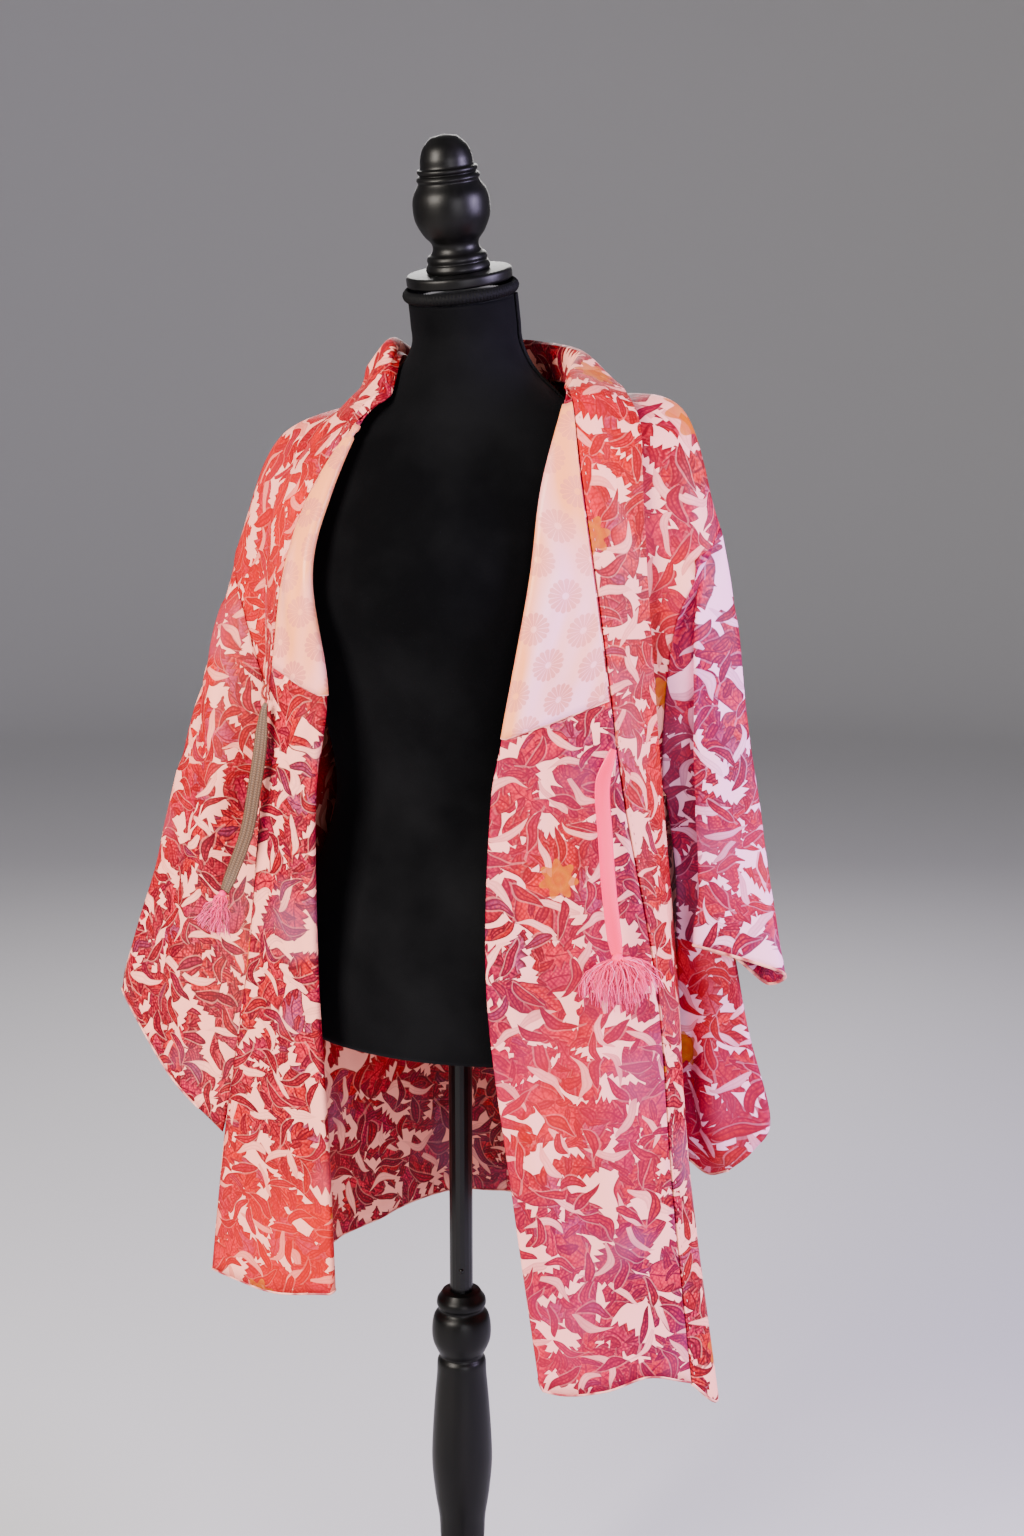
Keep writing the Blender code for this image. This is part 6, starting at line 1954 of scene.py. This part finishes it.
def turned(name, node, outline, place=(0.0, 0.0, 0.0), tilt=0.0):
    """An outline of radius and height, spun round its axis."""
    lean = np.array(Matrix.Rotation(tilt, 3, "X"))
    angles = np.linspace(0, 2 * math.pi, LATHE_SIDES + 1)
    rows, flats = [], []
    for radius, height in outline:
        level = np.full(len(angles), height)
        ring = np.stack([radius * np.cos(angles), radius * np.sin(angles), level], axis=1)
        rows.append(ring @ lean.T + np.array(place))
        flats.append([(radius * g, height) for g in angles])
    return link(name, flat_mesh(name, [(rows, flats)]), BLACK_WOOD, node)


turned("neck_cap_wood", "neck_cap", eased(CAP_PROFILE), NECK_CAP_AT, NECK_TILT)
turned("finial_wood", "finial", swelled(FINIAL_PROFILE), NECK_CAP_AT, NECK_TILT)
turned("column_wood", "stand_column", swelled(COLUMN_PROFILE))
turned("hub_wood", "stand_hub", eased(HUB_PROFILE))

# %% [markdown]
# Three curved legs are sawn from board and screwed to the hub. A filled outline with
# thickness and a small round along its edges is a curve object's own trick; it is turned
# into a mesh at the end so that it exports as one.

# %% The legs
LEG_ROOT = 0.0333
LEG_REACH = 0.245
LEG_THICK = 0.022
LEG_ROUND = 0.003
LEG_ANGLES = (("leg_front", -63.0), ("leg_left", 57.0), ("leg_right", 177.0))
LEG_OUTLINE = (
    ((LEG_ROOT, 0.128), "VECTOR"), ((0.085, 0.118), "AUTO"), ((0.16, 0.066), "AUTO"),
    ((LEG_REACH, 0.026), "AUTO"), ((LEG_REACH, 0.0), "VECTOR"), ((LEG_REACH - 0.048, 0.0), "VECTOR"),
    ((0.13, 0.05), "AUTO"), ((0.075, 0.08), "AUTO"), ((LEG_ROOT, 0.086), "VECTOR"),
)


def leg(node, angle):
    """One sawn leg with rounded edges, set round the hub."""
    curve = bpy.data.curves.new(node + "_outline", "CURVE")
    curve.dimensions = "2D"
    curve.fill_mode = "BOTH"
    curve.extrude = LEG_THICK / 2 - LEG_ROUND
    curve.bevel_depth = LEG_ROUND
    curve.bevel_resolution = 3
    curve.offset = -LEG_ROUND
    curve.resolution_u = 14
    spline = curve.splines.new("BEZIER")
    spline.use_cyclic_u = True
    spline.bezier_points.add(len(LEG_OUTLINE) - 1)
    for target, ((x, z), kind) in zip(spline.bezier_points, LEG_OUTLINE):
        target.co = (x, z, 0.0)
        target.handle_left_type = target.handle_right_type = kind
    guide = bpy.data.objects.new(node + "_outline", curve)
    SCENE.collection.objects.link(guide)
    bpy.context.view_layer.update()
    mesh = bpy.data.meshes.new_from_object(guide.evaluated_get(bpy.context.evaluated_depsgraph_get()))
    bpy.data.objects.remove(guide, do_unlink=True)
    mesh.transform(Matrix.Rotation(math.radians(angle), 4, "Z") @ Matrix.Rotation(math.radians(90.0), 4, "X"))
    return link(node + "_wood", mesh, BLACK_WOOD, node, smooth=False)


for node, angle in LEG_ANGLES:
    leg(node, angle)

# %% [markdown]
# The steel pole and the clamp that holds the form on it already have the right shape, so
# their solids stay and only get the enamel. A small spring button sits in the pole just
# above the column, where the stand's height is set.

# %% Pole, clamp and button
POLE_R = 0.011
BUTTON_Z = 0.4364
BUTTON_R = 0.0024
BUTTON_OUT = 0.0022
BUTTON_SUNK = 0.0006
BUTTON_RINGS = 8
BUTTON_SIDES = 20


def spring_button():
    """The round head of a spring button, half sunk in the pole."""
    out = np.array([math.sin(VIEW_ANGLE), -math.cos(VIEW_ANGLE), 0.0])
    side = np.array([math.cos(VIEW_ANGLE), math.sin(VIEW_ANGLE), 0.0])
    rows, flats = [], []
    for share in np.linspace(0, 1, BUTTON_RINGS):
        bend = share * math.pi / 2
        middle = BUTTON_Z * UP + out * (POLE_R - BUTTON_SUNK + BUTTON_OUT * math.cos(bend))
        rows.append([middle + BUTTON_R * math.sin(bend) * (side * math.cos(g) + UP * math.sin(g))
                     for g in np.linspace(0, 2 * math.pi, BUTTON_SIDES + 1)])
        flats.append([(0.0, share)] * (BUTTON_SIDES + 1))
    return link("pole_button", flat_mesh("pole_button", [(rows, flats)]), BLACK_STEEL)


for node in ("pole", "clamp_block", "clamp_knob"):
    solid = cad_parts[node]
    solid.data.materials.clear()
    solid.data.materials.append(BLACK_STEEL)
spring_button()

# %% [markdown]
# The last step measures the dressed model against the solids' box: cloth may stand a
# little proud, but the part keeps its size.

# %% Size and finish
NEW_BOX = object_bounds()
for word, box in (("solids", CAD_BOX), ("dressed", NEW_BOX)):
    print(word, [round(b - a, 4) for a, b in zip(*box)], "m")
